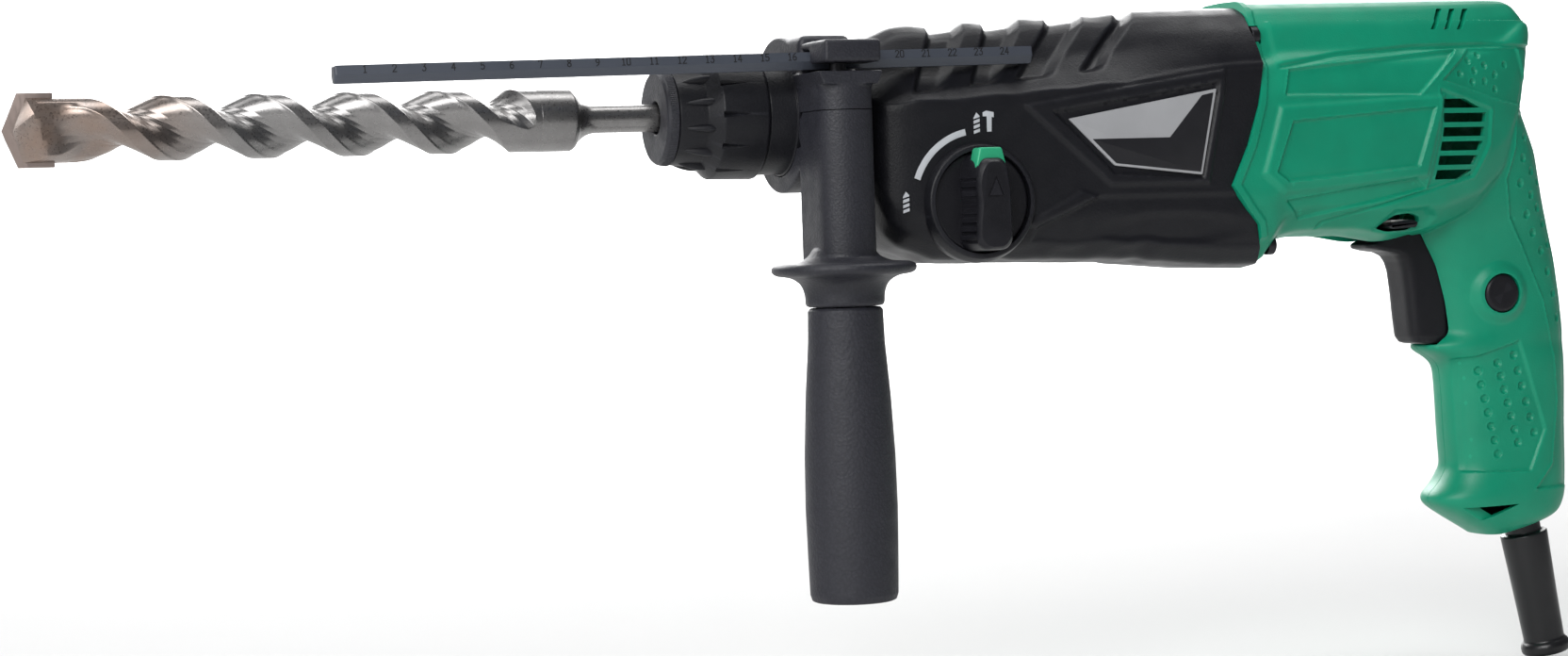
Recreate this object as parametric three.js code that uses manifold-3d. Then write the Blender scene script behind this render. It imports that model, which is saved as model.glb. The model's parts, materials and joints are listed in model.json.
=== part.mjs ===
// A two-mode rotary hammer with a masonry bit, a side handle and a depth gauge.
// Frame, in millimetres: X runs along the spindle from the chuck's front face to the rear,
// Y runs across the tool (the mode knob is on the -Y side) and Z is up.
// Every piece is its own closed mesh; pieces that touch keep a running gap.
import * as THREE from "three";
import { mergeVertices } from "three/addons/utils/BufferGeometryUtils.js";
import Module from "manifold-3d";

const wasm = await Module();
wasm.setup();

// ---- driving dimensions ------------------------------------------------------------------
const GAP = 0.3;
const COUNTER_Z = -30; // countershaft axis below the spindle axis
const MOTOR_Z = -7.5; // armature axis below the spindle axis

const BIT = {
  tipX: -223.4,
  headX: -206.8,
  fluteEndX: -49.5,
  shoulderX: -29.4,
  coneX: -20,
  shankEndX: 44,
  headR: 12.2,
  bodyR: 10.5,
  plainR: 11,
  coreR: 5.4,
  neckR: 4.7,
  shankR: 4.95,
  pitch: 62,
  crestX: -171,
  plateHalf: 2.4,
};
const SPINDLE = {
  frontX: 2.5,
  rearX: 124,
  noseR: 12.1,
  seatR: 13.4,
  barrelR: 15.8,
  boreR: 5.3,
  cylinderR: 12.4,
};
const SLEEVE = { frontX: 4.5, rearX: 35.8, rearR: 22.3, boreR: 21.4 };
const NOSE = {
  frontX: 36.1,
  stepX: 46,
  rearX: 72,
  smallR: 20.9,
  seatR: 21.5,
  boreR: 17.5,
};
const HANDLE = {
  x0: 46.3,
  x1: 66,
  axisX: 56.2,
  axisY: -34.5,
  ringR: 27.6,
  boreR: 21.8,
  outerY: -47.5,
};
const GRIP = { topZ: -68, bottomZ: -170, flangeZ: -52.2, flangeR: 25.5, neckR: 13.9 };
const GAUGE = {
  frontX: -119.2,
  length: 251,
  y: -28,
  z: 17.3,
  tilt: 0.014,
  halfHeight: 2.9,
  halfWidth: 3.3,
};
const KNOB = {
  x: 108,
  z: -33,
  faceY: -36.4,
  discR: 17.8,
  recessR: 18.2,
  rimR: 20.2,
  barHalf: 6.6,
  proud: 12.5,
};
const CASE_SIDE = 35;
const LOCK_BUTTON = { x: 330.2, z: -73.6, r: 7.2 };
const GUARD = { topX: 347.4, topZ: -160.5, length: 55, tilt: 0.19, bore: 4.3 };

// ---- helpers -----------------------------------------------------------------------------
function manifoldOf(geometry) {
  const g = geometry.index ? geometry.clone() : geometry;
  g.deleteAttribute("normal");
  g.deleteAttribute("uv");
  const merged = mergeVertices(g, 1e-4);
  const position = merged.attributes.position;
  const index = merged.index.array;
  const used = [];
  for (let i = 0; i < index.length; i += 3) {
    const [a, b, c] = [index[i], index[i + 1], index[i + 2]];
    if (a !== b && b !== c && a !== c) used.push(a, b, c);
  }
  if (signedVolume(position, used) < 0) {
    for (let i = 0; i < used.length; i += 3) {
      [used[i + 1], used[i + 2]] = [used[i + 2], used[i + 1]];
    }
  }
  const vertProperties = new Float32Array(position.array);
  return new wasm.Manifold(new wasm.Mesh({ numProp: 3, vertProperties, triVerts: new Uint32Array(used) }));
}

function signedVolume(position, index) {
  const a = new THREE.Vector3();
  const b = new THREE.Vector3();
  const c = new THREE.Vector3();
  let volume = 0;
  for (let i = 0; i < index.length; i += 3) {
    a.fromBufferAttribute(position, index[i]);
    b.fromBufferAttribute(position, index[i + 1]);
    c.fromBufferAttribute(position, index[i + 2]);
    volume += a.dot(b.cross(c));
  }
  return volume;
}

function geometryOf(solid) {
  const mesh = solid.getMesh();
  const geometry = new THREE.BufferGeometry();
  geometry.setAttribute("position", new THREE.BufferAttribute(new Float32Array(mesh.vertProperties), 3));
  geometry.setIndex(new THREE.BufferAttribute(new Uint32Array(mesh.triVerts), 1));
  return geometry;
}

// Turns a closed or on-axis profile of [along, radius] pairs about a line parallel to X, Y or Z.
function turned(profile, along, centre = [0, 0, 0], sides = 20) {
  const points = profile.map(([h, r]) => new THREE.Vector2(r, h));
  const geometry = new THREE.LatheGeometry(points, sides);
  if (along === "x") geometry.rotateZ(-Math.PI / 2);
  if (along === "z") geometry.rotateX(Math.PI / 2);
  geometry.translate(...centre);
  return manifoldOf(geometry);
}

// A plain disc or bar between two stations on a line parallel to an axis.
function bar(from, to, radius, along, centre, sides = 20) {
  return turned([[from, 0], [from, radius], [to, radius], [to, 0]], along, centre, sides);
}

function tube(from, to, inner, outer, along, centre, sides = 20) {
  const loop = [[from, inner], [from, outer], [to, outer], [to, inner], [from, inner]];
  return turned(loop, along, centre, sides);
}

function box(x0, x1, y0, y1, z0, z1) {
  const geometry = new THREE.BoxGeometry(x1 - x0, y1 - y0, z1 - z0);
  geometry.translate((x0 + x1) / 2, (y0 + y1) / 2, (z0 + z1) / 2);
  return manifoldOf(geometry);
}

// Extrudes an outline of (x, z) pairs across the tool, from y0 to y1.
function plateXZ(outline, y0, y1) {
  const shape = new THREE.Shape(outline.map(([x, z]) => new THREE.Vector2(x, z)));
  const geometry = new THREE.ExtrudeGeometry(shape, { depth: y1 - y0, bevelEnabled: false });
  geometry.rotateX(Math.PI / 2);
  geometry.translate(0, y1, 0);
  return manifoldOf(geometry);
}

// Extrudes an outline of (y, z) pairs along the tool, from x0 to x1.
function prismYZ(outline, x0, x1) {
  const shape = new THREE.Shape(outline.map(([y, z]) => new THREE.Vector2(y, z)));
  const geometry = new THREE.ExtrudeGeometry(shape, { depth: x1 - x0, bevelEnabled: false });
  geometry.rotateY(Math.PI / 2);
  geometry.rotateX(Math.PI / 2);
  geometry.translate(x0, 0, 0);
  return manifoldOf(geometry);
}

// Skins equal-length rings of points and closes both ends.
function loft(rings) {
  const size = rings[0].length;
  const positions = rings.flat().flatMap((p) => [p.x, p.y, p.z]);
  const index = [];
  for (let r = 0; r < rings.length - 1; r++) {
    for (let i = 0; i < size; i++) {
      const a = r * size + i;
      const b = r * size + ((i + 1) % size);
      index.push(a, b, a + size, b, b + size, a + size);
    }
  }
  for (const r of [0, rings.length - 1]) {
    const centre = new THREE.Vector3();
    rings[r].forEach((p) => centre.addScaledVector(p, 1 / size));
    const hub = positions.length / 3;
    positions.push(centre.x, centre.y, centre.z);
    for (let i = 0; i < size; i++) {
      const [a, b] = [r * size + i, r * size + ((i + 1) % size)];
      if (r === 0) index.push(hub, b, a);
      else index.push(hub, a, b);
    }
  }
  const geometry = new THREE.BufferGeometry();
  geometry.setAttribute("position", new THREE.Float32BufferAttribute(positions, 3));
  geometry.setIndex(index);
  return manifoldOf(geometry);
}

const union = (...solids) => solids.reduce((a, b) => a.add(b));
const cut = (solid, ...tools) => tools.reduce((a, b) => a.subtract(b), solid);

const MATERIALS = {
  green: { color: 0x1f9068, roughness: 0.45, metalness: 0 },
  black: { color: 0x26272b, roughness: 0.5, metalness: 0 },
  rubber: { color: 0x2b2c30, roughness: 0.8, metalness: 0 },
  steel: { color: 0x9a978f, roughness: 0.35, metalness: 1 },
  darkSteel: { color: 0x55565a, roughness: 0.4, metalness: 1 },
  carbide: { color: 0x8f7a6c, roughness: 0.35, metalness: 1 },
  copper: { color: 0xa65a2a, roughness: 0.4, metalness: 1 },
  silver: { color: 0xc4c6c9, roughness: 0.3, metalness: 0.8 },
  brightGreen: { color: 0x2fb57e, roughness: 0.4, metalness: 0 },
  white: { color: 0xd8d8d2, roughness: 0.6, metalness: 0 },
};

const hammer = new THREE.Group();

function add(name, material, solid) {
  const mesh = new THREE.Mesh(geometryOf(solid), new THREE.MeshStandardMaterial(MATERIALS[material]));
  mesh.name = name;
  hammer.add(mesh);
}

// ---- the masonry bit ---------------------------------------------------------------------
// Its flute is a two-lobed section that turns right-handed once per pitch.
function fluteRing(x) {
  const lobe = Math.PI / 2 + ((x - BIT.crestX) / BIT.pitch) * 2 * Math.PI;
  const ring = [];
  const around = 12;
  for (let i = 0; i < around; i++) {
    const a = (i / around) * 2 * Math.PI;
    const swell = Math.pow(Math.abs(Math.cos(a)), 1.6);
    const r = BIT.coreR + (BIT.bodyR - BIT.coreR) * swell;
    ring.push(new THREE.Vector3(x, r * Math.cos(a + lobe), r * Math.sin(a + lobe)));
  }
  return ring;
}

function drillBit() {
  const rings = [];
  const steps = 27;
  const start = BIT.headX - 6;
  for (let i = 0; i <= steps; i++) rings.push(fluteRing(start + ((BIT.fluteEndX + 4 - start) * i) / steps));
  const shank = turned(
    [
      [BIT.fluteEndX - 3, 0],
      [BIT.fluteEndX + 3, BIT.plainR],
      [BIT.shoulderX, BIT.plainR],
      [BIT.shoulderX + 1.5, BIT.plainR - 1.5],
      [BIT.coneX, BIT.neckR],
      [4, BIT.neckR],
      [4.5, BIT.shankR],
      [BIT.shankEndX - 1, BIT.shankR],
      [BIT.shankEndX, BIT.shankR - 1],
      [BIT.shankEndX, 0],
    ],
    "x",
  );
  const groove = box(7, 29, -2.6, 2.6, 4.2, 6);
  const slot = box(BIT.tipX - 1, BIT.headX + 0.2, -BIT.plateHalf - GAP, BIT.plateHalf + GAP, -14, 14);
  return cut(union(loft(rings), shank), groove, groove.rotate([180, 0, 0]), slot);
}

function carbideTip() {
  const r = BIT.headR;
  const outline = [
    [BIT.tipX, 0],
    [BIT.tipX + 5.5, r],
    [BIT.headX - 1, r],
    [BIT.headX - 0.1, r - 1],
    [BIT.headX - 0.1, 1 - r],
    [BIT.headX - 1, -r],
    [BIT.tipX + 5.5, -r],
  ];
  return plateXZ(outline, -BIT.plateHalf, BIT.plateHalf);
}

add("drill_bit", "steel", drillBit());
add("bit_carbide_tip", "carbide", carbideTip());

// ---- the chuck ---------------------------------------------------------------------------
function frontCap() {
  const loop = [
    [0.4, 5.7],
    [0, 9],
    [0, 15.4],
    [1, 16.4],
    [4.2, 17],
    [4.2, 12.4],
    [2.2, 12.4],
    [2.2, 5.7],
    [0.4, 5.7],
  ];
  return turned(loop, "x");
}

function gripSleeve() {
  const loop = [
    [SLEEVE.frontX, 12.5],
    [SLEEVE.frontX, 16.8],
    [15, 17.9],
    [19, 22],
    [SLEEVE.rearX, SLEEVE.rearR],
    [SLEEVE.rearX, SLEEVE.boreR],
    [24, SLEEVE.boreR],
    [24, 15.2],
    [12, 15.2],
    [12, 12.5],
    [SLEEVE.frontX, 12.5],
  ];
  const body = turned(loop, "x", [0, 0, 0], 24);
  const ribs = [];
  const ribCount = 12;
  for (let i = 0; i < ribCount; i++) {
    const outline = [[16.5, -1.1], [19.2, 0], [16.5, 1.1]];
    const rib = prismYZ(outline, 6.5, 17.5);
    ribs.push(rib.rotate([((i + 0.5) * 360) / ribCount, 0, 0]));
  }
  return union(body, ...ribs);
}

add("front_cap", "rubber", frontCap());
add("grip_sleeve", "black", gripSleeve());
add("retaining_ring", "darkSteel", tube(12.4, 15.6, 12.4, 14.9, "x"));

class Coil extends THREE.Curve {
  getPoint(t) {
    const a = t * 3.5 * 2 * Math.PI;
    return new THREE.Vector3(16.8 + t * 11.2, 13.6 * Math.cos(a), 13.6 * Math.sin(a));
  }
}

function chuckSpring() {
  const wire = new THREE.Shape();
  wire.absarc(0, 0, 0.65, 0, 2 * Math.PI);
  const path = { extrudePath: new Coil(), steps: 35, curveSegments: 2, bevelEnabled: false };
  return manifoldOf(new THREE.ExtrudeGeometry(wire, path));
}

add("chuck_spring", "steel", chuckSpring());

function lockingBall() {
  const geometry = new THREE.SphereGeometry(3, 12, 8);
  geometry.translate(14, 0, 8.2);
  return manifoldOf(geometry);
}

add("locking_ball", "steel", lockingBall());

// ---- the spindle and hammer mechanism ----------------------------------------------------
function spindle() {
  const s = SPINDLE;
  const loop = [
    [s.frontX, s.boreR],
    [s.frontX, s.noseR],
    [29, s.noseR],
    [29, 16.5],
    [31, 16.5],
    [31, s.noseR],
    [39.2, s.noseR],
    [39.2, s.seatR],
    [66, s.seatR],
    [68, s.barrelR],
    [s.rearX, s.barrelR],
    [s.rearX, s.cylinderR],
    [78, s.cylinderR],
    [76, 7.2],
    [47, 7.2],
    [45, s.boreR],
    [s.frontX, s.boreR],
  ];
  const slot = box(10.6, 17.4, -3.4, 3.4, 4, 13);
  return cut(turned(loop, "x", [0, 0, 0], 20), slot);
}

add("spindle", "steel", spindle());

function impactBolt() {
  const profile = [[53, 0], [53, 4.4], [56, 4.6], [58, 6.9], [70, 6.9], [71, 6], [75, 5.8], [75, 0]];
  return turned(profile, "x", [0, 0, 0], 16);
}

add("impact_bolt", "darkSteel", impactBolt());
const strikerProfile = [[83, 0], [83, 7], [86, 12.1], [103, 12.1], [103, 0]];
add("striker", "darkSteel", turned(strikerProfile, "x", [0, 0, 0], 20));

// A toothed wheel: straight flanks, with backlash left by a tooth narrower than half the pitch.
function toothed(teeth, module, x0, x1, axisZ, startAngle) {
  const pitchR = (teeth * module) / 2;
  const rootR = pitchR - 1.25 * module;
  const tipR = pitchR + 0.95 * module;
  const step = (2 * Math.PI) / teeth;
  const rootHalf = step * 0.28;
  const tipHalf = step * 0.12;
  const outline = [];
  for (let i = 0; i < teeth; i++) {
    const mid = startAngle + i * step;
    for (const [r, a] of [[rootR, -rootHalf], [tipR, -tipHalf], [tipR, tipHalf], [rootR, rootHalf]]) {
      outline.push([r * Math.cos(mid + a), axisZ + r * Math.sin(mid + a)]);
    }
  }
  return prismYZ(outline, x0, x1);
}

const SPINDLE_TEETH = 38;
const PINION_TEETH = 10;
const SECOND_MODULE = 1.25;
const FIRST_TEETH = 38;
const MOTOR_TEETH = 7;
const FIRST_MODULE = 1;
const DOWN = -Math.PI / 2;
const UP = Math.PI / 2;

const spindleWheel = toothed(SPINDLE_TEETH, SECOND_MODULE, 96, 107, 0, DOWN);
add("spindle_gear", "steel", cut(spindleWheel, bar(95, 108, SPINDLE.barrelR + 0.1, "x", [0, 0, 0], 20)));

function countershaft() {
  const pinion = toothed(PINION_TEETH, SECOND_MODULE, 94, 109, COUNTER_Z, UP + Math.PI / PINION_TEETH);
  return union(bar(76, 184, 4.2, "x", [0, 0, COUNTER_Z], 16), pinion);
}

add("countershaft", "steel", countershaft());

function clutchSleeve() {
  const at = [0, 0, COUNTER_Z];
  const loop = [[114.2, 4.5], [114.2, 8.6], [116.4, 8.6], [116.4, 7], [118.6, 7], [118.6, 8.6]];
  loop.push([121, 8.6], [121, 4.5], [114.2, 4.5]);
  return turned(loop, "x", at, 20);
}

add("clutch_sleeve", "darkSteel", clutchSleeve());

function wobbleRace() {
  const loop = [[130, 4.3]];
  const radius = 13.8;
  for (let i = 0; i <= 4; i++) {
    const x = -8 + 4 * i;
    loop.push([138 + x, Math.sqrt(radius * radius - x * x)]);
  }
  loop.push([146, 4.3], [130, 4.3]);
  return turned(loop, "x", [0, 0, COUNTER_Z], 18);
}

function wobbleRing() {
  const ring = tube(134.3, 141.7, 14.5, 18, "x", [0, 0, COUNTER_Z], 20);
  const finger = turned([[-13, 0], [-13, 1.7], [4.5, 1.7], [5, 1.2], [5, 0]], "z", [138, 0, 0], 10);
  return union(ring, finger);
}

add("wobble_race", "darkSteel", wobbleRace());
add("wobble_ring", "steel", wobbleRing());

const firstWheel = toothed(FIRST_TEETH, FIRST_MODULE, 158, 168, COUNTER_Z, UP);
add("first_gear", "steel", cut(firstWheel, bar(157, 169, 4.3, "x", [0, 0, COUNTER_Z], 16)));

function piston() {
  const cup = turned([[113, 0], [113, 12.1], [130, 12.1], [130, 9.6], [117, 9.6], [117, 0]], "x");
  const lug = box(126, 142.5, 5.6, 9, -5, 5);
  const pinHole = turned([[-12, 0], [-12, 3.3], [12, 3.3], [12, 0]], "y", [138, 0, 0], 16);
  return cut(union(cup, lug, lug.mirror([0, 1, 0])), pinHole);
}

function pistonPin() {
  const pin = turned([[-8.8, 0], [-8.8, 3], [8.8, 3], [8.8, 0]], "y", [138, 0, 0], 16);
  return cut(pin, bar(-5, 5, 2, "z", [138, 0, 0], 12));
}

add("piston", "darkSteel", piston());
add("piston_pin", "steel", pistonPin());

// ---- bearings and seals ------------------------------------------------------------------
add("spindle_bearing", "steel", tube(46, 58, 13.7, 17.2, "x"));
add("countershaft_front_bearing", "steel", tube(77, 83, 4.5, 9, "x", [0, 0, COUNTER_Z], 16));
add("countershaft_rear_bearing", "steel", tube(174.5, 181, 4.5, 9, "x", [0, 0, COUNTER_Z], 16));
add("armature_front_bearing", "steel", tube(177, 184, 4.3, 10, "x", [0, 0, MOTOR_Z], 16));
add("armature_rear_bearing", "steel", tube(298.5, 305, 4.3, 9.4, "x", [0, 0, MOTOR_Z], 16));

// ---- the gear case -----------------------------------------------------------------------
// The line where the black case meets the green housing, from top to bottom.
const SEAM = [
  [224, 45],
  [221, 26.7],
  [222, 14.3],
  [219, -1],
  [214.2, -15.3],
  [207.2, -30],
  [213.4, -38.6],
  [218.3, -44.2],
  [222, -60],
  [222, -250],
];

function seamBlock(shift, towardRear) {
  const far = towardRear ? 420 : 0;
  const outline = SEAM.map(([x, z]) => [x + shift, z]);
  outline.push([far, -250], [far, 45]);
  return plateXZ(outline, -60, 60);
}

// Mirrors a half section of (y, z) pairs into a whole ring at x.
function mirroredRing(x, half) {
  const right = half.map(([y, z]) => new THREE.Vector3(x, y, z));
  const left = right.slice(1, -1).reverse().map((p) => new THREE.Vector3(p.x, -p.y, p.z));
  return [...right, ...left];
}

// The case's half section: a dome above the break line, a flat side, then a rounded keel.
// Beside the gauge the dome is narrow; it widens towards the housing.
const CASE_DOME = [[0, 1], [0.3, 0.96], [0.48, 0.85], [0.6, 0.63], [0.68, 0.45], [0.81, 0.26], [1, 0]];
const CASE_SHOULDER = [0, 0.36, 0.58, 0.76, 0.86, 0.94, 1];
const SHOULDER_FROM = 168;
const SHOULDER_TO = 205;
const CASE_KEEL = [[1, 0.7], [1, 0.27], [0.93, 0.12], [0.74, 0.02], [0.4, 0], [0, 0]];

function caseRing([x, top, bottom, side]) {
  const breakZ = bottom + (top - bottom) * (0.65 + 0.0006 * (x - 80));
  const widen = THREE.MathUtils.clamp((x - SHOULDER_FROM) / (SHOULDER_TO - SHOULDER_FROM), 0, 1);
  const dome = CASE_DOME.map(([fy, fz], i) => {
    const reach = THREE.MathUtils.lerp(fy, CASE_SHOULDER[i], widen);
    return [reach * side, breakZ + fz * (top - breakZ)];
  });
  const keel = CASE_KEEL.map(([fy, fz]) => [fy * side, bottom + fz * (breakZ - bottom)]);
  return mirroredRing(x, [...dome, ...keel]);
}

// Stations of the case: x, top, bottom, half width. The crests and troughs are finger ribs.
const CASE_STATIONS = [
  [70, 23, -27, 24],
  [74, 26, -43, 31],
  [80, 28.6, -49, 33.5],
  [86, 31.3, -51, 34.6],
  [93, 31.9, -54, CASE_SIDE],
  [101, 31.1, -54.4, CASE_SIDE],
  [115.4, 32.9, -54.4, CASE_SIDE],
  [123.5, 32.1, -55.3, CASE_SIDE],
  [132.2, 33.2, -54.4, CASE_SIDE],
  [138, 33.9, -55.4, CASE_SIDE],
  [145, 33.4, -56, CASE_SIDE],
  [157, 34.9, -55.2, CASE_SIDE],
  [167, 34.2, -56.9, CASE_SIDE],
  [174, 35.2, -55.8, CASE_SIDE],
  [181, 36, -57.4, CASE_SIDE],
  [205, 36.4, -59.7, CASE_SIDE],
  [232, 37, -60.3, CASE_SIDE],
];

const CASE_CAVITY = [
  [73, 20, -40, 27],
  [82, 25.3, -46.5, 31],
  [96, 28, -50.8, 32],
  [124, 29, -51.6, 32],
  [168, 31, -52.9, 32],
  [205, 32.6, -55.5, 32.2],
  [233, 33.6, -56.8, 32.4],
];

const caseLoft = (stations) => loft(stations.map(caseRing));

const CASE_SCREWS = [];
for (const side of [-1, 1]) CASE_SCREWS.push([side * 24.4, 24.6], [side * 23.5, -52]);

function gearCase() {
  const nose = turned(
    [
      [NOSE.frontX, 0],
      [NOSE.frontX, NOSE.smallR],
      [NOSE.stepX, NOSE.smallR],
      [NOSE.stepX, NOSE.seatR],
      [NOSE.rearX, NOSE.seatR],
      [NOSE.rearX, 0],
    ],
    "x",
    [0, 0, 0],
    32,
  );
  const knobAt = [KNOB.x, 0, KNOB.z];
  const boss = turned([[-38, 0], [-38, KNOB.rimR], [-33, KNOB.rimR + 1.5], [-33, 0]], "y", knobAt, 28);
  const outer = union(caseLoft(CASE_STATIONS), nose, boss);
  const noseBore = turned(
    [
      [NOSE.frontX - 1, 0],
      [NOSE.frontX - 1, 12.9],
      [38.6, 12.9],
      [38.6, NOSE.boreR],
      [75, NOSE.boreR],
      [75, 0],
    ],
    "x",
  );
  const recess = turned([[-40, 0], [-40, KNOB.recessR], [-34.2, KNOB.recessR], [-34.2, 0]], "y", knobAt);
  const pivot = bar(-36, -28, 4.4, "y", knobAt, 16);
  let solid = cut(outer, caseLoft(CASE_CAVITY), noseBore, recess, pivot);
  for (const [y, z] of CASE_SCREWS) {
    const boss = bar(196, 224, 4.2, "x", [0, y, z], 12).intersect(outer);
    solid = cut(union(solid, boss), bar(195, 230, 2.1, "x", [0, y, z], 12));
  }
  return solid.intersect(seamBlock(-GAP / 2, false));
}

add("gear_case", "black", gearCase());

function innerCover() {
  const plate = caseLoft([
    [172.6, 30.2, -51.6, 31],
    [176.6, 30.2, -51.6, 31],
  ]);
  const motorBoss = bar(176, 186, 13.5, "x", [0, 0, MOTOR_Z], 20);
  const shaftBoss = bar(172.6, 183, 11.5, "x", [0, 0, COUNTER_Z], 20);
  const holes = [
    bar(170, 190, 5, "x", [0, 0, MOTOR_Z], 16),
    bar(176.7, 187, 10.3, "x", [0, 0, MOTOR_Z], 16),
    bar(170, 181.8, 9.3, "x", [0, 0, COUNTER_Z], 16),
    bar(181, 187, 5, "x", [0, 0, COUNTER_Z], 16),
  ];
  return cut(union(plate, motorBoss, shaftBoss), ...holes);
}

add("inner_cover", "silver", innerCover());

// ---- the motor ---------------------------------------------------------------------------
function armatureShaft() {
  const start = DOWN + Math.PI / MOTOR_TEETH;
  const pinion = toothed(MOTOR_TEETH, FIRST_MODULE, 157.5, 171, MOTOR_Z, start);
  return union(pinion, bar(170.5, 308, 4, "x", [0, 0, MOTOR_Z], 16));
}

function coolingFan() {
  const disc = bar(190.5, 192.5, 26, "x", [0, 0, MOTOR_Z], 24);
  const hub = bar(190.5, 204, 7, "x", [0, 0, MOTOR_Z], 16);
  const blades = [];
  const bladeCount = 9;
  for (let i = 0; i < bladeCount; i++) {
    const blade = box(191.5, 203.5, -0.8, 0.8, 6, 25.6).rotate([(i * 360) / bladeCount, 0, 0]);
    blades.push(blade.translate([0, 0, MOTOR_Z]));
  }
  return cut(union(disc, hub, ...blades), bar(189, 206, 4.2, "x", [0, 0, MOTOR_Z], 16));
}

function armatureCore() {
  const axis = [0, 0, MOTOR_Z];
  const outline = [];
  const slots = 10;
  for (let i = 0; i < slots; i++) {
    const mid = (i / slots) * 2 * Math.PI;
    for (const [r, a] of [[14.5, -0.24], [19.4, -0.24], [19.4, 0.24], [14.5, 0.24]]) {
      outline.push([r * Math.cos(mid + a), MOTOR_Z + r * Math.sin(mid + a)]);
    }
  }
  const windings = union(
    turned([[208, 0], [208, 12], [214, 16], [216, 0]], "x", [0, 0, MOTOR_Z], 20),
    turned([[262, 0], [264, 16], [270, 12], [271, 0]], "x", [0, 0, MOTOR_Z], 20),
  );
  const commutatorProfile = [[269, 0], [269, 8], [275, 8], [275, 12.4], [291, 12.4], [291, 0]];
  const commutator = turned(commutatorProfile, "x", axis, 24);
  const core = union(prismYZ(outline, 215, 263), windings, commutator);
  return cut(core, bar(206, 293, 4.2, "x", axis, 16));
}

add("armature_shaft", "steel", armatureShaft());
add("cooling_fan", "white", coolingFan());
add("armature_core", "copper", armatureCore());

const POLE_NECK = 8.5;

function arcOutline(inner, outer, from, to, steps) {
  const points = [];
  for (let i = 0; i <= steps; i++) points.push([outer, from + ((to - from) * i) / steps]);
  for (let i = steps; i >= 0; i--) points.push([inner, from + ((to - from) * i) / steps]);
  return points.map(([r, a]) => [r * Math.cos(a), MOTOR_Z + r * Math.sin(a)]);
}

function statorCore() {
  const yoke = tube(214, 264, 27, 30.6, "x", [0, 0, MOTOR_Z], 28);
  const poles = [];
  for (const side of [1, -1]) {
    const mid = (side * Math.PI) / 2;
    poles.push(prismYZ(arcOutline(20.2, 22.6, mid - 0.95, mid + 0.95, 8), 214, 264));
    const [low, high] = side > 0 ? [22, 28] : [-28, -22];
    poles.push(box(214, 264, -POLE_NECK, POLE_NECK, MOTOR_Z + low, MOTOR_Z + high));
  }
  return union(yoke, ...poles);
}

function fieldCoil(side) {
  const mid = (side * Math.PI) / 2;
  const block = prismYZ(arcOutline(23, 26.6, mid - 0.9, mid + 0.9, 8), 208, 270);
  const [low, high] = side > 0 ? [15, 35] : [-35, -15];
  const neck = POLE_NECK + GAP;
  return cut(block, box(213.5, 264.5, -neck, neck, MOTOR_Z + low, MOTOR_Z + high));
}

add("stator_core", "darkSteel", statorCore());
add("field_coil_upper", "copper", fieldCoil(1));
add("field_coil_lower", "copper", fieldCoil(-1));

// A ring plate with a square socket on each side, in which the brushes slide.
function brushPlate() {
  const ring = tube(288, 290.5, 13.4, 28.6, "x", [0, 0, MOTOR_Z], 24);
  const sockets = [];
  const bores = [];
  for (const side of [1, -1]) {
    const [near, far] = side > 0 ? [14.5, 28] : [-28, -14.5];
    const [from, to] = side > 0 ? [14, 26.5] : [-26.5, -14];
    sockets.push(box(277.5, 288.5, near, far, MOTOR_Z - 5.5, MOTOR_Z + 5.5));
    bores.push(box(279.2, 286.8, from, to, MOTOR_Z - 3.8, MOTOR_Z + 3.8));
  }
  return cut(union(ring, ...sockets), ...bores);
}

function carbonBrush(side) {
  const [near, far] = side > 0 ? [12.8, 24] : [-24, -12.8];
  return box(279.6, 286.4, near, far, MOTOR_Z - 3.4, MOTOR_Z + 3.4);
}

add("brush_plate", "silver", brushPlate());
add("carbon_brush_left", "black", carbonBrush(-1));
add("carbon_brush_right", "black", carbonBrush(1));

// ---- the motor housing and its grip --------------------------------------------------------
const BARREL_HALF = [
  [0, 1],
  [0.36, 0.997],
  [0.56, 0.965],
  [0.7, 0.89],
  [0.79, 0.78],
  [0.9, 0.74],
  [0.97, 0.64],
  [1, 0.48],
  [1, 0.27],
  [0.92, 0.12],
  [0.68, 0.03],
  [0.36, 0],
  [0, 0],
];

const BARREL = [
  [204, 37.8, -60.3, 36.2],
  [226, 37.8, -60.3, 36.2],
  [229, 37.8, -52, 36],
  [240, 37.8, -49.4, 35.8],
  [264, 38, -49.6, 35.6],
  [280, 38.2, -52.6, 34.6],
  [300, 38.4, -50, 33],
  [318, 38.5, -44, 29],
  [331, 38.6, -34, 24.6],
  [341, 38.4, -8, 20],
  [345, 35.5, 12, 16],
  [348.6, 31, 23, 12],
];

const BARREL_CAVITY = [
  [203, 34.8, -57.4, 33.2],
  [224, 34.8, -57.4, 33.2],
  [229, 34.8, -48.6, 33],
  [240, 34.8, -46.4, 32.8],
  [264, 35, -46.6, 32.6],
  [280, 35.2, -48.5, 31.6],
  [300, 35.4, -46, 30],
  [318, 35.4, -40, 26],
  [331, 35, -28, 21.4],
  [338, 34, -6, 17],
];

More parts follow.
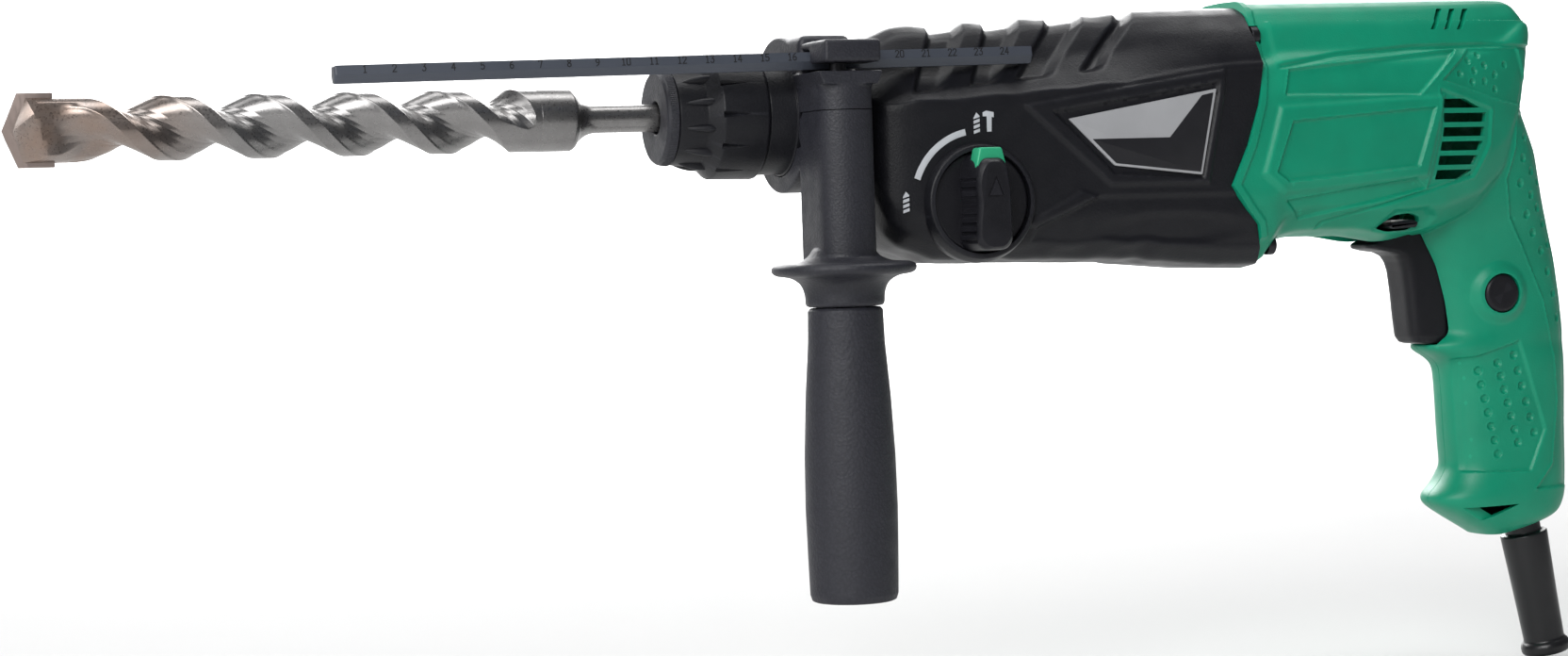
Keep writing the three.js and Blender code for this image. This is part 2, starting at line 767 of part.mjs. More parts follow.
// Stations of the grip: z, front x, back x, half width.
const GRIP_BODY = [
  [18, 320, 340.5, 16],
  [13.3, 312, 340.8, 19],
  [2.3, 303, 343.2, 22],
  [-5, 298, 346.2, 23.2],
  [-20, 295, 352.6, 22.8],
  [-40, 295, 356.6, 20.8],
  [-51, 299, 359.4, 18.8],
  [-62, 304.5, 362, 17.6],
  [-76, 308, 364, 17],
  [-92, 310.5, 365.2, 17],
  [-97.5, 312.4, 365.4, 17],
  [-109, 313.3, 365.4, 16.8],
  [-127, 314, 364.8, 16.8],
  [-140, 315, 364.6, 17],
  [-147, 310.6, 364.5, 17.3],
  [-151, 305.2, 364.2, 17.5],
  [-154, 306.4, 363.6, 17.4],
  [-160, 316, 360.4, 16.4],
  [-164, 323, 348, 13.5],
  [-166.6, 327, 336, 9],
];

const GRIP_CAVITY = [
  [10, 314, 337.6, 16],
  [-5, 303, 343, 20],
  [-20, 301, 349.4, 19.4],
  [-40, 301, 353.4, 17.4],
  [-51, 303, 356, 15.4],
  [-62, 307.5, 359, 14.4],
  [-92, 313.5, 362, 14],
  [-109, 316.3, 362.2, 13.8],
  [-140, 318, 361.4, 14],
  [-152, 317, 361, 14],
  [-157, 320, 358, 13],
];

function gripRing([z, front, back, half], around) {
  const ring = [];
  const squareness = 0.78;
  for (let i = 0; i < around; i++) {
    const a = (i / around) * 2 * Math.PI;
    const c = Math.cos(a);
    const s = Math.sin(a);
    const x = (front + back) / 2 + ((back - front) / 2) * Math.sign(c) * Math.pow(Math.abs(c), squareness);
    ring.push(new THREE.Vector3(x, half * Math.sign(s) * Math.pow(Math.abs(s), squareness), z));
  }
  return ring;
}


function barrelRing([x, top, bottom, side]) {
  return mirroredRing(x, BARREL_HALF.map(([fy, fz]) => [fy * side, bottom + fz * (top - bottom)]));
}

const barrelLoft = (stations) => loft(stations.map(barrelRing));
const gripLoft = (stations, around) => loft(stations.map((station) => gripRing(station, around)));

// Centres of the screws that join the two housing halves, as [x, z].
const HOUSING_SCREWS = [
  [237, 30],
  [330, 26],
  [349, -44],
  [355, -98],
];

function guardTool(radius, from, to, sides) {
  const along = turned([[from, 0], [from, radius], [to, radius], [to, 0]], "z", [0, 0, 0], sides);
  return along.rotate([0, (-GUARD.tilt * 180) / Math.PI, 0]).translate([GUARD.topX, 0, GUARD.topZ]);
}

function ventCuts() {
  const slots = [];
  for (let i = 0; i < 6; i++) {
    const z = -1.6 - 5.3 * i;
    const x0 = 297.5 - 0.8 * i;
    const x1 = 319.5 - 1.5 * i;
    slots.push(box(x0, x1, -45, -16, z - 1.7, z + 1.7), box(x0, x1, 16, 45, z - 1.7, z + 1.7));
  }
  return slots;
}

function housingShell() {
  const outer = union(barrelLoft(BARREL), gripLoft(GRIP_BODY, 18));
  const cavity = union(barrelLoft(BARREL_CAVITY), gripLoft(GRIP_CAVITY, 12));
  let solid = cut(outer, cavity);
  const extras = [bar(299, 304.6, 34, "x", [0, 0, MOTOR_Z], 24)];
  for (const [x, z] of HOUSING_SCREWS) extras.push(bar(-40, 40, 3.9, "y", [x, 0, z], 12));
  for (const [y, z] of CASE_SCREWS) extras.push(bar(219, 228, 4.2, "x", [0, y, z], 12));
  solid = union(solid, ...extras.map((e) => e.intersect(outer)));
  const cuts = [
    bar(290, 320, 9.7, "x", [0, 0, MOTOR_Z], 20),
    box(262, 318, -9.4, 9.4, -96, -49.5),
    box(276, 291.5, -50, 50, -48.6, -43),
    bar(-30, -8, LOCK_BUTTON.r + 0.35, "y", [LOCK_BUTTON.x, 0, LOCK_BUTTON.z], 20),
    guardTool(7.3, -16, 14, 16),
    ...ventCuts(),
  ];
  for (const [x, z] of HOUSING_SCREWS) {
    cuts.push(bar(-10, 50, 2.1, "y", [x, 0, z], 12), bar(11, 50, 3.7, "y", [x, 0, z], 12));
  }
  for (const [y, z] of CASE_SCREWS) {
    cuts.push(bar(200, 232, 2.1, "x", [0, y, z], 12), bar(226, 242, 3.9, "x", [0, y, z], 12));
  }
  return cut(solid, ...cuts).intersect(seamBlock(GAP / 2, true));
}

const shell = housingShell();
add("housing_left", "green", shell.intersect(box(150, 420, -60, -GAP / 2, -200, 60)));
add("housing_right", "green", shell.intersect(box(150, 420, GAP / 2, 60, -200, 60)));

HOUSING_SCREWS.forEach(([x, z], i) => {
  const profile = [[-9, 0], [-9, 1.7], [11.3, 1.7], [11.3, 3.4], [13.8, 3.4], [13.8, 0]];
  add("housing_screw_" + (i + 1), "darkSteel", turned(profile, "y", [x, 0, z], 12));
});

CASE_SCREWS.forEach(([y, z], i) => {
  const profile = [[199, 0], [199, 1.8], [226.3, 1.8], [226.3, 3.6], [230, 3.6], [230, 0]];
  add("case_screw_" + (i + 1), "darkSteel", turned(profile, "x", [0, y, z], 12));
});

function nameplate() {
  const outline = [[142.9, -4.5], [201.9, 5.3], [195.3, -25.6], [160.5, -21.5]];
  return plateXZ(outline, -CASE_SIDE - 1, -CASE_SIDE - GAP);
}

add("nameplate", "silver", nameplate());

// ---- the controls ------------------------------------------------------------------------
function modeKnob() {
  const at = [KNOB.x, 0, KNOB.z];
  const discProfile = [[KNOB.faceY, 0], [KNOB.faceY, KNOB.discR], [-34.5, KNOB.discR], [-34.5, 0]];
  const disc = turned(discProfile, "y", at, 32);
  const post = bar(-34.6, -27.5, 4, "y", at, 16);
  const outer = KNOB.faceY - KNOB.proud;
  const h = KNOB.barHalf;
  const top = [[h, 13], [3, 16.6], [-3, 16.6], [-h, 13]];
  const outline = [[-h, -15.5], [-3, -17.4], [3, -17.4], [h, -15.5], ...top];
  const grip = plateXZ(outline.map(([x, z]) => [x + KNOB.x, z + KNOB.z]), outer, KNOB.faceY + 0.5);
  const pocket = box(KNOB.x - 5.2, KNOB.x + 5.2, outer + 2.2, outer + 10, KNOB.z + 8, KNOB.z + 30);
  const crank = box(KNOB.x - 2, KNOB.x + 2, -30, -27.5, KNOB.z - 9, KNOB.z);
  return cut(union(disc, post, grip, crank), pocket);
}

function knobButton() {
  const outer = KNOB.faceY - KNOB.proud;
  return box(KNOB.x - 4.9, KNOB.x + 4.9, outer + 2.6, outer + 9.6, KNOB.z + 11, KNOB.z + 19.4);
}

add("mode_knob", "black", modeKnob());
add("knob_button", "brightGreen", knobButton());

// The fork that the knob's crank moves along, to shift the clutch sleeve.
function shiftFork() {
  const plate = box(116.9, 118.1, -24, -8.4, COUNTER_Z - 4, COUNTER_Z + 4);
  const mouth = bar(116, 119, 7.4, "x", [0, 0, COUNTER_Z], 20);
  const arc = tube(116.9, 118.1, 7.5, 11, "x", [0, 0, COUNTER_Z], 20);
  const half = arc.intersect(box(110, 125, -12, 0, COUNTER_Z - 12, COUNTER_Z + 12));
  return cut(union(plate, half), mouth);
}

add("shift_fork", "silver", shiftFork());

function trigger() {
  const outline = [
    [271, -53.2],
    [285, -52.2],
    [295, -51],
    [314, -51],
    [314, -92],
    [299, -92],
    [291, -90.6],
    [288.4, -86],
    [287, -74],
    [285.6, -62],
    [284, -57],
    [277, -56.4],
    [272.2, -55.2],
  ];
  return plateXZ(outline, -9, 9);
}

add("trigger", "black", trigger());
add("switch_body", "black", box(323.4, 345, -9.8, 9.8, -94, -64));

function lockButton() {
  const profile = [[-19.4, 0], [-19.4, 6.2], [-18.6, LOCK_BUTTON.r], [-13.4, LOCK_BUTTON.r], [-13.4, 0]];
  return turned(profile, "y", [LOCK_BUTTON.x, 0, LOCK_BUTTON.z], 20);
}

add("lock_button", "black", lockButton());

function reversingLever() {
  const outline = [[278, -47], [279.5, -44.8], [286.5, -44.4], [289.5, -45.4], [289, -47.4]];
  return plateXZ(outline, -27, 27);
}

add("reversing_lever", "black", reversingLever());
add("capacitor", "silver", box(324, 344, -8, 8, -131, -104));

// The sleeve that guards the cord where it leaves the grip.
function cordGuard() {
  const b = GUARD.bore;
  const loop = [
    [10, b],
    [10, 8.6],
    [7, 8.6],
    [7, 6.9],
    [-6.6, 6.9],
    [-7, 9.1],
    [-GUARD.length + 5, 7.9],
    [-GUARD.length + 4, 9.2],
    [-GUARD.length, 9.4],
    [-GUARD.length, b],
    [10, b],
  ];
  const upright = turned(loop, "z", [0, 0, 0], 20);
  return upright.rotate([0, (-GUARD.tilt * 180) / Math.PI, 0]).translate([GUARD.topX, 0, GUARD.topZ]);
}

add("cord_guard", "rubber", cordGuard());

// ---- the side handle ---------------------------------------------------------------------
const gaugeTilt = (-GAUGE.tilt * 180) / Math.PI;

function gaugeRod(extra, x0, x1) {
  const [h, w] = [GAUGE.halfHeight + extra, GAUGE.halfWidth + extra];
  const outline = [[-w, 0], [-w * 0.45, h], [w * 0.45, h], [w, 0], [w * 0.45, -h], [-w * 0.45, -h]];
  return prismYZ(outline, x0, x1).rotate([0, gaugeTilt, 0]).translate([0, GAUGE.y, GAUGE.z]);
}

function clampRing(zFrom, zTo) {
  const h = HANDLE;
  const ring = tube(h.x0, h.x1, h.boreR, h.ringR, "x", [0, 0, 0], 32);
  return ring.intersect(box(h.x0 - 1, h.x1 + 1, -40, 40, zFrom, zTo));
}

// The upright beside the ring: flat fore and aft, with a rounded outer face.
function column(zFrom, zTo) {
  const h = HANDLE;
  const outline = [[h.x0, -20], [h.x0, -39]];
  const reach = h.axisX - h.x0;
  for (let i = 1; i < 6; i++) {
    const a = (i / 6) * Math.PI;
    outline.push([h.axisX - reach * Math.cos(a), -39 + (h.outerY + 39) * Math.sin(a)]);
  }
  outline.push([h.x1, -39], [h.x1, -20]);
  const shape = new THREE.Shape(outline.map(([x, y]) => new THREE.Vector2(x, y)));
  const geometry = new THREE.ExtrudeGeometry(shape, { depth: zTo - zFrom, bevelEnabled: false });
  geometry.translate(0, 0, zFrom);
  return manifoldOf(geometry);
}

const collarBore = bar(HANDLE.x0 - 2, HANDLE.x1 + 2, HANDLE.boreR, "x", [0, 0, 0], 32);
const boltBore = bar(-120, 40, 3.2, "z", [HANDLE.axisX, HANDLE.axisY, 0], 16);

function clampLower() {
  const at = [HANDLE.axisX, HANDLE.axisY, 0];
  const f = GRIP.flangeZ;
  const stem = turned(
    [
      [f + 3, 0],
      [f + 1, 15],
      [f, GRIP.flangeR - 1],
      [f - 1.6, GRIP.flangeR],
      [f - 3.6, GRIP.flangeR],
      [f - 4.6, GRIP.flangeR - 2],
      [f - 6.5, GRIP.neckR + 2],
      [f - 10, GRIP.neckR],
      [GRIP.topZ + GAP, GRIP.neckR],
      [GRIP.topZ + GAP, 0],
    ],
    "z",
    at,
    28,
  );
  const body = union(clampRing(-40, -GAP / 2), column(f, -GAP / 2), stem);
  return cut(body, collarBore, boltBore);
}

function clampUpper() {
  const h = HANDLE;
  const upright = column(GAP / 2, 13);
  const lip = plateXZ([[h.x0 - 1.6, 13], [h.x0, 10], [h.x1, 10], [h.x1 + 1.6, 13]], h.outerY, -20);
  const crown = box(h.x0, h.x1, -22, -6, 19, 28.6).intersect(tube(h.x0, h.x1, h.boreR, 29, "x"));
  const body = union(clampRing(GAP / 2, 40), upright, lip, crown);
  return cut(body, collarBore, boltBore, gaugeRod(GAP, h.x0 - 20, h.x1 + 20));
}

add("clamp_lower", "black", clampLower());
add("clamp_upper", "black", clampUpper());

// The block that presses the gauge down when the grip is turned tight.
function gaugeClamp() {
  const h = HANDLE;
  const block = box(h.x0 + 0.6, h.x1 - 0.6, h.outerY, -31.6, 16, 25);
  const roof = box(h.x0 + 0.6, h.x1 - 0.6, h.outerY, -23.4, 21.2, 25);
  const body = union(block, roof);
  const headPocket = bar(21.4, 30, 5.9, "z", [h.axisX, h.axisY, 0], 6);
  const channel = gaugeRod(GAP, h.x0 - 20, h.x1 + 20);
  return cut(body, channel, boltBore, headPocket, tube(0, 60, h.boreR, 29.4, "x"));
}

add("gauge_clamp", "black", gaugeClamp());

function handleBolt() {
  const at = [HANDLE.axisX, HANDLE.axisY, 0];
  const profile = [[-110, 0], [-110, 2.9], [22, 2.9], [22, 0]];
  const head = turned([[21.8, 0], [21.8, 5.5], [24.4, 5.5], [24.4, 0]], "z", at, 6);
  return union(turned(profile, "z", at, 12), head);
}

add("handle_bolt", "steel", handleBolt());

function sideGrip() {
  const at = [HANDLE.axisX, HANDLE.axisY, 0];
  const { topZ, bottomZ } = GRIP;
  const span = topZ - bottomZ;
  const profile = [[topZ, 3.6], [topZ, 13]];
  for (const [t, r] of [[0.12, 13.3], [0.3, 14.8], [0.5, 15.9], [0.68, 16.1], [0.85, 15.7], [0.97, 15.5]]) {
    profile.push([topZ - t * span, r]);
  }
  profile.push([bottomZ, 14.6], [bottomZ, 0], [-112, 0], [-112, 3.6], [topZ, 3.6]);
  return turned(profile, "z", at, 28);
}

add("side_grip", "rubber", sideGrip());
add("depth_gauge", "darkSteel", gaugeRod(0, GAUGE.frontX, GAUGE.frontX + GAUGE.length));

export default hammer;
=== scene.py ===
"""A rotary hammer with its side handle, depth gauge and masonry bit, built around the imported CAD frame.

Shapes are worked out in millimetres and scaled to metres when a piece is made.
X runs along the spindle towards the rear, Z is up, and the mode knob is on the -Y side.
"""

import json
import math

import bpy
import numpy as np
from mathutils import Matrix, Vector


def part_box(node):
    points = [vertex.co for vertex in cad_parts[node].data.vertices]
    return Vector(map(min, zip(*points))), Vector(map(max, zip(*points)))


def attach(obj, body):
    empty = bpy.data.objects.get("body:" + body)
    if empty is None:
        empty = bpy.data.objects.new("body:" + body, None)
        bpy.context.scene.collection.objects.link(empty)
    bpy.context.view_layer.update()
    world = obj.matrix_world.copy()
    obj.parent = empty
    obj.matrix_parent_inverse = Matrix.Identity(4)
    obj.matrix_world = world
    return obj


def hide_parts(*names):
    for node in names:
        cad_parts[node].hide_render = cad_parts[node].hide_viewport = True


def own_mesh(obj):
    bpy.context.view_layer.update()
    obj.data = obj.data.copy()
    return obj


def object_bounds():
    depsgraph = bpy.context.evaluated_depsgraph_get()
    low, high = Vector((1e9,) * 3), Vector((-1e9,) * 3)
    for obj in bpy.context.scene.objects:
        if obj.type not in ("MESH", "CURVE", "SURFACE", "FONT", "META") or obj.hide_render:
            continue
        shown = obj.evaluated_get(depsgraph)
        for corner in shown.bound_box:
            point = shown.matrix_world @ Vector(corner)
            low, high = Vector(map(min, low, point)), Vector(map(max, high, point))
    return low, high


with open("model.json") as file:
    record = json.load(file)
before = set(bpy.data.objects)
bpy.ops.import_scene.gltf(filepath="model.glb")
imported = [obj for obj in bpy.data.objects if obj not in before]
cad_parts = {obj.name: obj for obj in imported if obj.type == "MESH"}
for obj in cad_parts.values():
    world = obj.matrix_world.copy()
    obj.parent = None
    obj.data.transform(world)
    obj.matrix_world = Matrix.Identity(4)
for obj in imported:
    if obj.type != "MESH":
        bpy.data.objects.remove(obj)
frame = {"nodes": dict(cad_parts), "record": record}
CAD_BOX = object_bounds()
MM = 0.001
GAP = 0.3


def box_mm(node):
    """A CAD node's lowest and highest corners, in millimetres."""
    low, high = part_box(node)
    return np.array(low) / MM, np.array(high) / MM


def centre_line(low, high, axis):
    """The middle of a box, put at 0 along an axis."""
    centre = [(a + b) / 2 for a, b in zip(low, high)]
    centre["xyz".index(axis)] = 0
    return centre


# ---- solids in millimetres --------------------------------------------------------------


def solid(verts, faces):
    """A scratch object, in millimetres, that booleans and reliefs work on."""
    mesh = bpy.data.meshes.new("scratch")
    mesh.from_pydata([tuple(v) for v in verts], [], [tuple(f) for f in faces])
    mesh.update()
    obj = bpy.data.objects.new("scratch", mesh)
    bpy.context.scene.collection.objects.link(obj)
    return obj


def coords(obj):
    co = np.empty(len(obj.data.vertices) * 3)
    obj.data.vertices.foreach_get("co", co)
    return co.reshape(-1, 3)


def set_coords(obj, co):
    obj.data.vertices.foreach_set("co", np.ascontiguousarray(co, dtype=float).ravel())
    obj.data.update()
    return obj


def volume(co, faces):
    total = 0.0
    for face in faces:
        a = co[face[0]]
        for i in range(1, len(face) - 1):
            total += float(np.dot(a, np.cross(co[face[i]], co[face[i + 1]])))
    return total


def grid_solid(rings, closed_ends=True):
    """Joins rings of points, an array (along, around, 3), into one closed body."""
    rings = np.asarray(rings, dtype=float)
    along, around = rings.shape[:2]
    verts = rings.reshape(-1, 3)
    faces = []
    for i in range(along - 1):
        for j in range(around):
            k = (j + 1) % around
            faces.append((i * around + j, i * around + k, (i + 1) * around + k, (i + 1) * around + j))
    if closed_ends:
        faces.append(tuple(range(around - 1, -1, -1)))
        faces.append(tuple((along - 1) * around + j for j in range(around)))
    else:
        for j in range(around):
            k = (j + 1) % around
            faces.append(((along - 1) * around + j, (along - 1) * around + k, k, j))
    if volume(verts, faces) < 0:
        faces = [tuple(reversed(f)) for f in faces]
    return solid(verts, faces)


def on_axis(along, radius, angle, axis, centre):
    """Cylinder coordinates about an axis through centre, as points."""
    c, s = radius * np.cos(angle), radius * np.sin(angle)
    if axis == "x":
        points = np.stack([along, c, s], -1)
    elif axis == "y":
        points = np.stack([s, along, c], -1)
    else:
        points = np.stack([c, s, along], -1)
    return points + np.asarray(centre, dtype=float)


def round_corners(points, radius, steps=4, closed=False):
    """Replaces each corner of a flat outline by a small arc."""
    points = [np.asarray(p, dtype=float) for p in points]
    out = []
    n = len(points)
    for i, p in enumerate(points):
        if not closed and i in (0, n - 1):
            out.append(p)
            continue
        before, after = points[i - 1] - p, points[(i + 1) % n] - p
        la, lb = np.linalg.norm(before), np.linalg.norm(after)
        reach = min(radius, 0.45 * la, 0.45 * lb)
        a, b = p + before / la * reach, p + after / lb * reach
        for k in range(steps + 1):
            t = k / steps
            out.append((1 - t) ** 2 * a + 2 * t * (1 - t) * p + t * t * b)
    return out


def lathe(profile, axis, centre=(0, 0, 0), sides=96, radius=0.4, wave=None):
    """Turns a profile of (along, radius) pairs about an axis. It starts and ends near the axis."""
    line = np.array(round_corners(profile, radius))
    line[:, 1] = np.maximum(line[:, 1], 0.01)
    angle = np.linspace(0, 2 * np.pi, sides, endpoint=False)
    along = np.repeat(line[:, :1], sides, 1)
    r = np.repeat(line[:, 1:], sides, 1)
    if wave is not None:
        r = wave(along, r, angle[None, :])
    return grid_solid(on_axis(along, r, angle[None, :], axis, centre))


def ring_body(profile, axis, centre=(0, 0, 0), sides=96, radius=0.4, wave=None):
    """Turns a closed loop of (along, radius) pairs about an axis."""
    line = np.array(round_corners(profile, radius, closed=True))
    angle = np.linspace(0, 2 * np.pi, sides, endpoint=False)
    along = np.repeat(line[None, :, 0], sides, 0)
    r = np.repeat(line[None, :, 1], sides, 0)
    if wave is not None:
        r = wave(along, r, angle[:, None])
    return grid_solid(on_axis(along, r, angle[:, None], axis, centre), closed_ends=False)


def rod(start, end, radius, axis, centre=(0, 0, 0), sides=48):
    return lathe([[start, 0], [start, radius], [end, radius], [end, 0]], axis, centre, sides, 0.0)


def prism(outline, start, end, axis, bevel=0.0, corner=0.0):
    """A flat outline, pushed out along an axis.

    The outline is (y, z) pairs for axis x, (x, z) pairs for y and (x, y) pairs for z.
    """
    points = round_corners(outline, corner, closed=True) if corner else outline
    points = np.array(points, dtype=float)
    nxt, prev = np.roll(points, -1, 0), np.roll(points, 1, 0)
    area = np.sum(points[:, 0] * nxt[:, 1] - nxt[:, 0] * points[:, 1])
    edge_a, edge_b = points - prev, nxt - points
    edge_a /= np.linalg.norm(edge_a, axis=1)[:, None] + 1e-9
    edge_b /= np.linalg.norm(edge_b, axis=1)[:, None] + 1e-9
    inward = np.stack([-edge_a[:, 1] - edge_b[:, 1], edge_a[:, 0] + edge_b[:, 0]], -1) * np.sign(area)
    length = np.linalg.norm(inward, axis=1)[:, None] + 1e-9
    # A mitre that keeps the bevel's width equal on both of a corner's edges.
    inward = inward / length * (2 / np.maximum(length, 0.8))
    low, high = min(start, end), max(start, end)
    levels = [(low, 0.0), (high, 0.0)]
    if bevel:
        steps = 4
        arc = [math.pi / 2 * k / steps for k in range(steps + 1)]
        levels = [(low + bevel * (1 - math.sin(a)), bevel * (1 - math.cos(a))) for a in reversed(arc)]
        levels += [(high - bevel * (1 - math.sin(a)), bevel * (1 - math.cos(a))) for a in arc]
    rings = []
    for level, inset in levels:
        p = points + inward * inset
        along = np.full(len(p), level)
        if axis == "y":
            rings.append(np.stack([p[:, 0], along, p[:, 1]], -1))
        elif axis == "x":
            rings.append(np.stack([along, p[:, 0], p[:, 1]], -1))
        else:
            rings.append(np.stack([p[:, 0], p[:, 1], along], -1))
    return grid_solid(rings)


def block(low, high, bevel=0.0):
    (x0, y0, z0), (x1, y1, z1) = low, high
    return prism([(x0, y0), (x1, y0), (x1, y1), (x0, y1)], z0, z1, "z", bevel, bevel)


def moved(obj, matrix):
    obj.data.transform(matrix)
    obj.data.update()
    return obj


def turned_about(obj, degrees, axis, centre=(0, 0, 0)):
    shift = Matrix.Translation(Vector(centre))
    return moved(obj, shift @ Matrix.Rotation(math.radians(degrees), 4, axis) @ shift.inverted())


def remove(obj):
    mesh = obj.data
    bpy.data.objects.remove(obj)
    bpy.data.meshes.remove(mesh)


def combined(objs):
    """Several bodies that don't touch, as one mesh."""
    verts, faces = [], []
    for obj in objs:
        start = len(verts)
        verts.extend(v.co[:] for v in obj.data.vertices)
        faces.extend([start + i for i in p.vertices] for p in obj.data.polygons)
        remove(obj)
    return solid(verts, faces)


def applied(obj):
    graph = bpy.context.evaluated_depsgraph_get()
    mesh = bpy.data.meshes.new_from_object(obj.evaluated_get(graph))
    old = obj.data
    obj.modifiers.clear()
    obj.data = mesh
    bpy.data.meshes.remove(old)
    return obj


def boolean(obj, operation, *others):
    for other in others:
        modifier = obj.modifiers.new("boolean", "BOOLEAN")
        modifier.operation = operation
        modifier.solver = "MANIFOLD"
        modifier.object = other
    applied(obj)
    for other in others:
        remove(other)
    return obj


def union(obj, *others):
    return boolean(obj, "UNION", *others)


def cut(obj, *others):
    return boolean(obj, "DIFFERENCE", *others)


def common(obj, *others):
    return boolean(obj, "INTERSECT", *others)


def copy_of(obj):
    twin = bpy.data.objects.new("scratch", obj.data.copy())
    bpy.context.scene.collection.objects.link(twin)
    return twin


def remeshed(obj, voxel, smoothing=0):
    modifier = obj.modifiers.new("remesh", "REMESH")
    modifier.mode = "VOXEL"
    modifier.voxel_size = voxel
    if smoothing:
        soften = obj.modifiers.new("smooth", "SMOOTH")
        soften.factor = 0.5
        soften.iterations = smoothing
    return applied(obj)


# ---- reliefs ----------------------------------------------------------------------------


def smooth(t):
    t = np.clip(t, 0, 1)
    return t * t * (3 - 2 * t)


def distance_to_line(x, z, points):
    """Distance from each (x, z) to an open line through points."""
    best = np.full(x.shape, 1e9)
    for (ax, az), (bx, bz) in zip(points[:-1], points[1:]):
        dx, dz = bx - ax, bz - az
        t = np.clip(((x - ax) * dx + (z - az) * dz) / (dx * dx + dz * dz), 0, 1)
        best = np.minimum(best, np.hypot(x - ax - t * dx, z - az - t * dz))
    return best


def inside_depth(x, z, outline):
    """Signed distance to a closed outline: positive inside it."""
    d = distance_to_line(x, z, list(outline) + [outline[0]])
    inside = np.zeros(x.shape, dtype=bool)
    points = list(outline)
    for (ax, az), (bx, bz) in zip(points, points[1:] + points[:1]):
        if az == bz:
            continue
        crosses = ((az > z) != (bz > z)) & (x < (bx - ax) * (z - az) / (bz - az) + ax)
        inside ^= crosses
    return np.where(inside, d, -d)


def panel(x, z, outline, height, edge=1.0):
    """A raised or sunk field with a sloping edge of that width."""
    return height * smooth(inside_depth(x, z, outline) / edge + 0.5)


def ridge(x, z, points, height, width):
    """A rounded bead, or a groove where height is negative."""
    return height * smooth(1 - distance_to_line(x, z, points) / width)


def dimples(x, z, centres, radius=1.35, depth=0.55):
    total = np.zeros(x.shape)
    for cx, cz in centres:
        r = np.hypot(x - cx, z - cz)
        total -= depth * smooth((radius - r) / 0.7 + 0.3)
        total += 0.12 * smooth(1 - np.abs(r - radius - 0.3) / 0.6)
    return total


def relief(obj, height):
    """Moves each point along its normal by height(co, normal), in millimetres."""
    co = coords(obj)
    normal = np.empty(len(co) * 3, dtype=np.float32)
    obj.data.vertex_normals.foreach_get("vector", normal)
    normal = normal.reshape(-1, 3).astype(float)
    return set_coords(obj, co + normal * height(co, normal)[:, None])


def stations_at(table, places, blur):
    """The columns of a station table at each place, softened over blur millimetres."""
    table = np.array(table, dtype=float)
    if table[0, 0] > table[-1, 0]:
        table = table[::-1]
    step = abs(places[1] - places[0])
    half = max(1, int(3 * blur / step))
    kernel = np.exp(-0.5 * (np.arange(-half, half + 1) * step / blur) ** 2)
    kernel /= kernel.sum()
    columns = []
    for k in range(1, table.shape[1]):
        values = np.interp(places, table[:, 0], table[:, k])
        before = 2 * values[0] - values[half:0:-1]
        after = 2 * values[-1] - values[-2 : -half - 2 : -1]
        padded = np.concatenate([before, values, after])
        columns.append(np.convolve(padded, kernel, "valid"))
    return columns


def soft_rings(y, z, places, around, blur):
    """Closed rings from mirrored half sections: y and z are (places, section points) arrays."""
    y = np.concatenate([y, -y[:, -2:0:-1]], 1)
    z = np.concatenate([z, z[:, -2:0:-1]], 1)
    middle = len(places) // 2
    step = np.hypot(np.diff(y[middle], append=y[middle, 0]), np.diff(z[middle], append=z[middle, 0]))
    total = np.concatenate([[0], np.cumsum(step)])
    at = np.interp(np.linspace(0, total[-1], around, endpoint=False), total, np.arange(len(total)))
    low = np.floor(at).astype(int)
    part = at - low
    n = y.shape[1]
    pick = lambda a: a[:, low % n] * (1 - part) + a[:, (low + 1) % n] * part
    y, z = pick(y), pick(z)
    spacing = total[-1] / around
    half = int(3 * blur / spacing) + 1
    offsets = np.arange(-half, half + 1)
    kernel = np.exp(-0.5 * (offsets * spacing / blur) ** 2)
    kernel /= kernel.sum()
    y = sum(w * np.roll(y, k, 1) for k, w in zip(offsets, kernel))
    z = sum(w * np.roll(z, k, 1) for k, w in zip(offsets, kernel))
    x = np.repeat(np.asarray(places)[:, None], around, 1)
    return np.stack([x, y, z], -1)


# ---- materials --------------------------------------------------------------------------


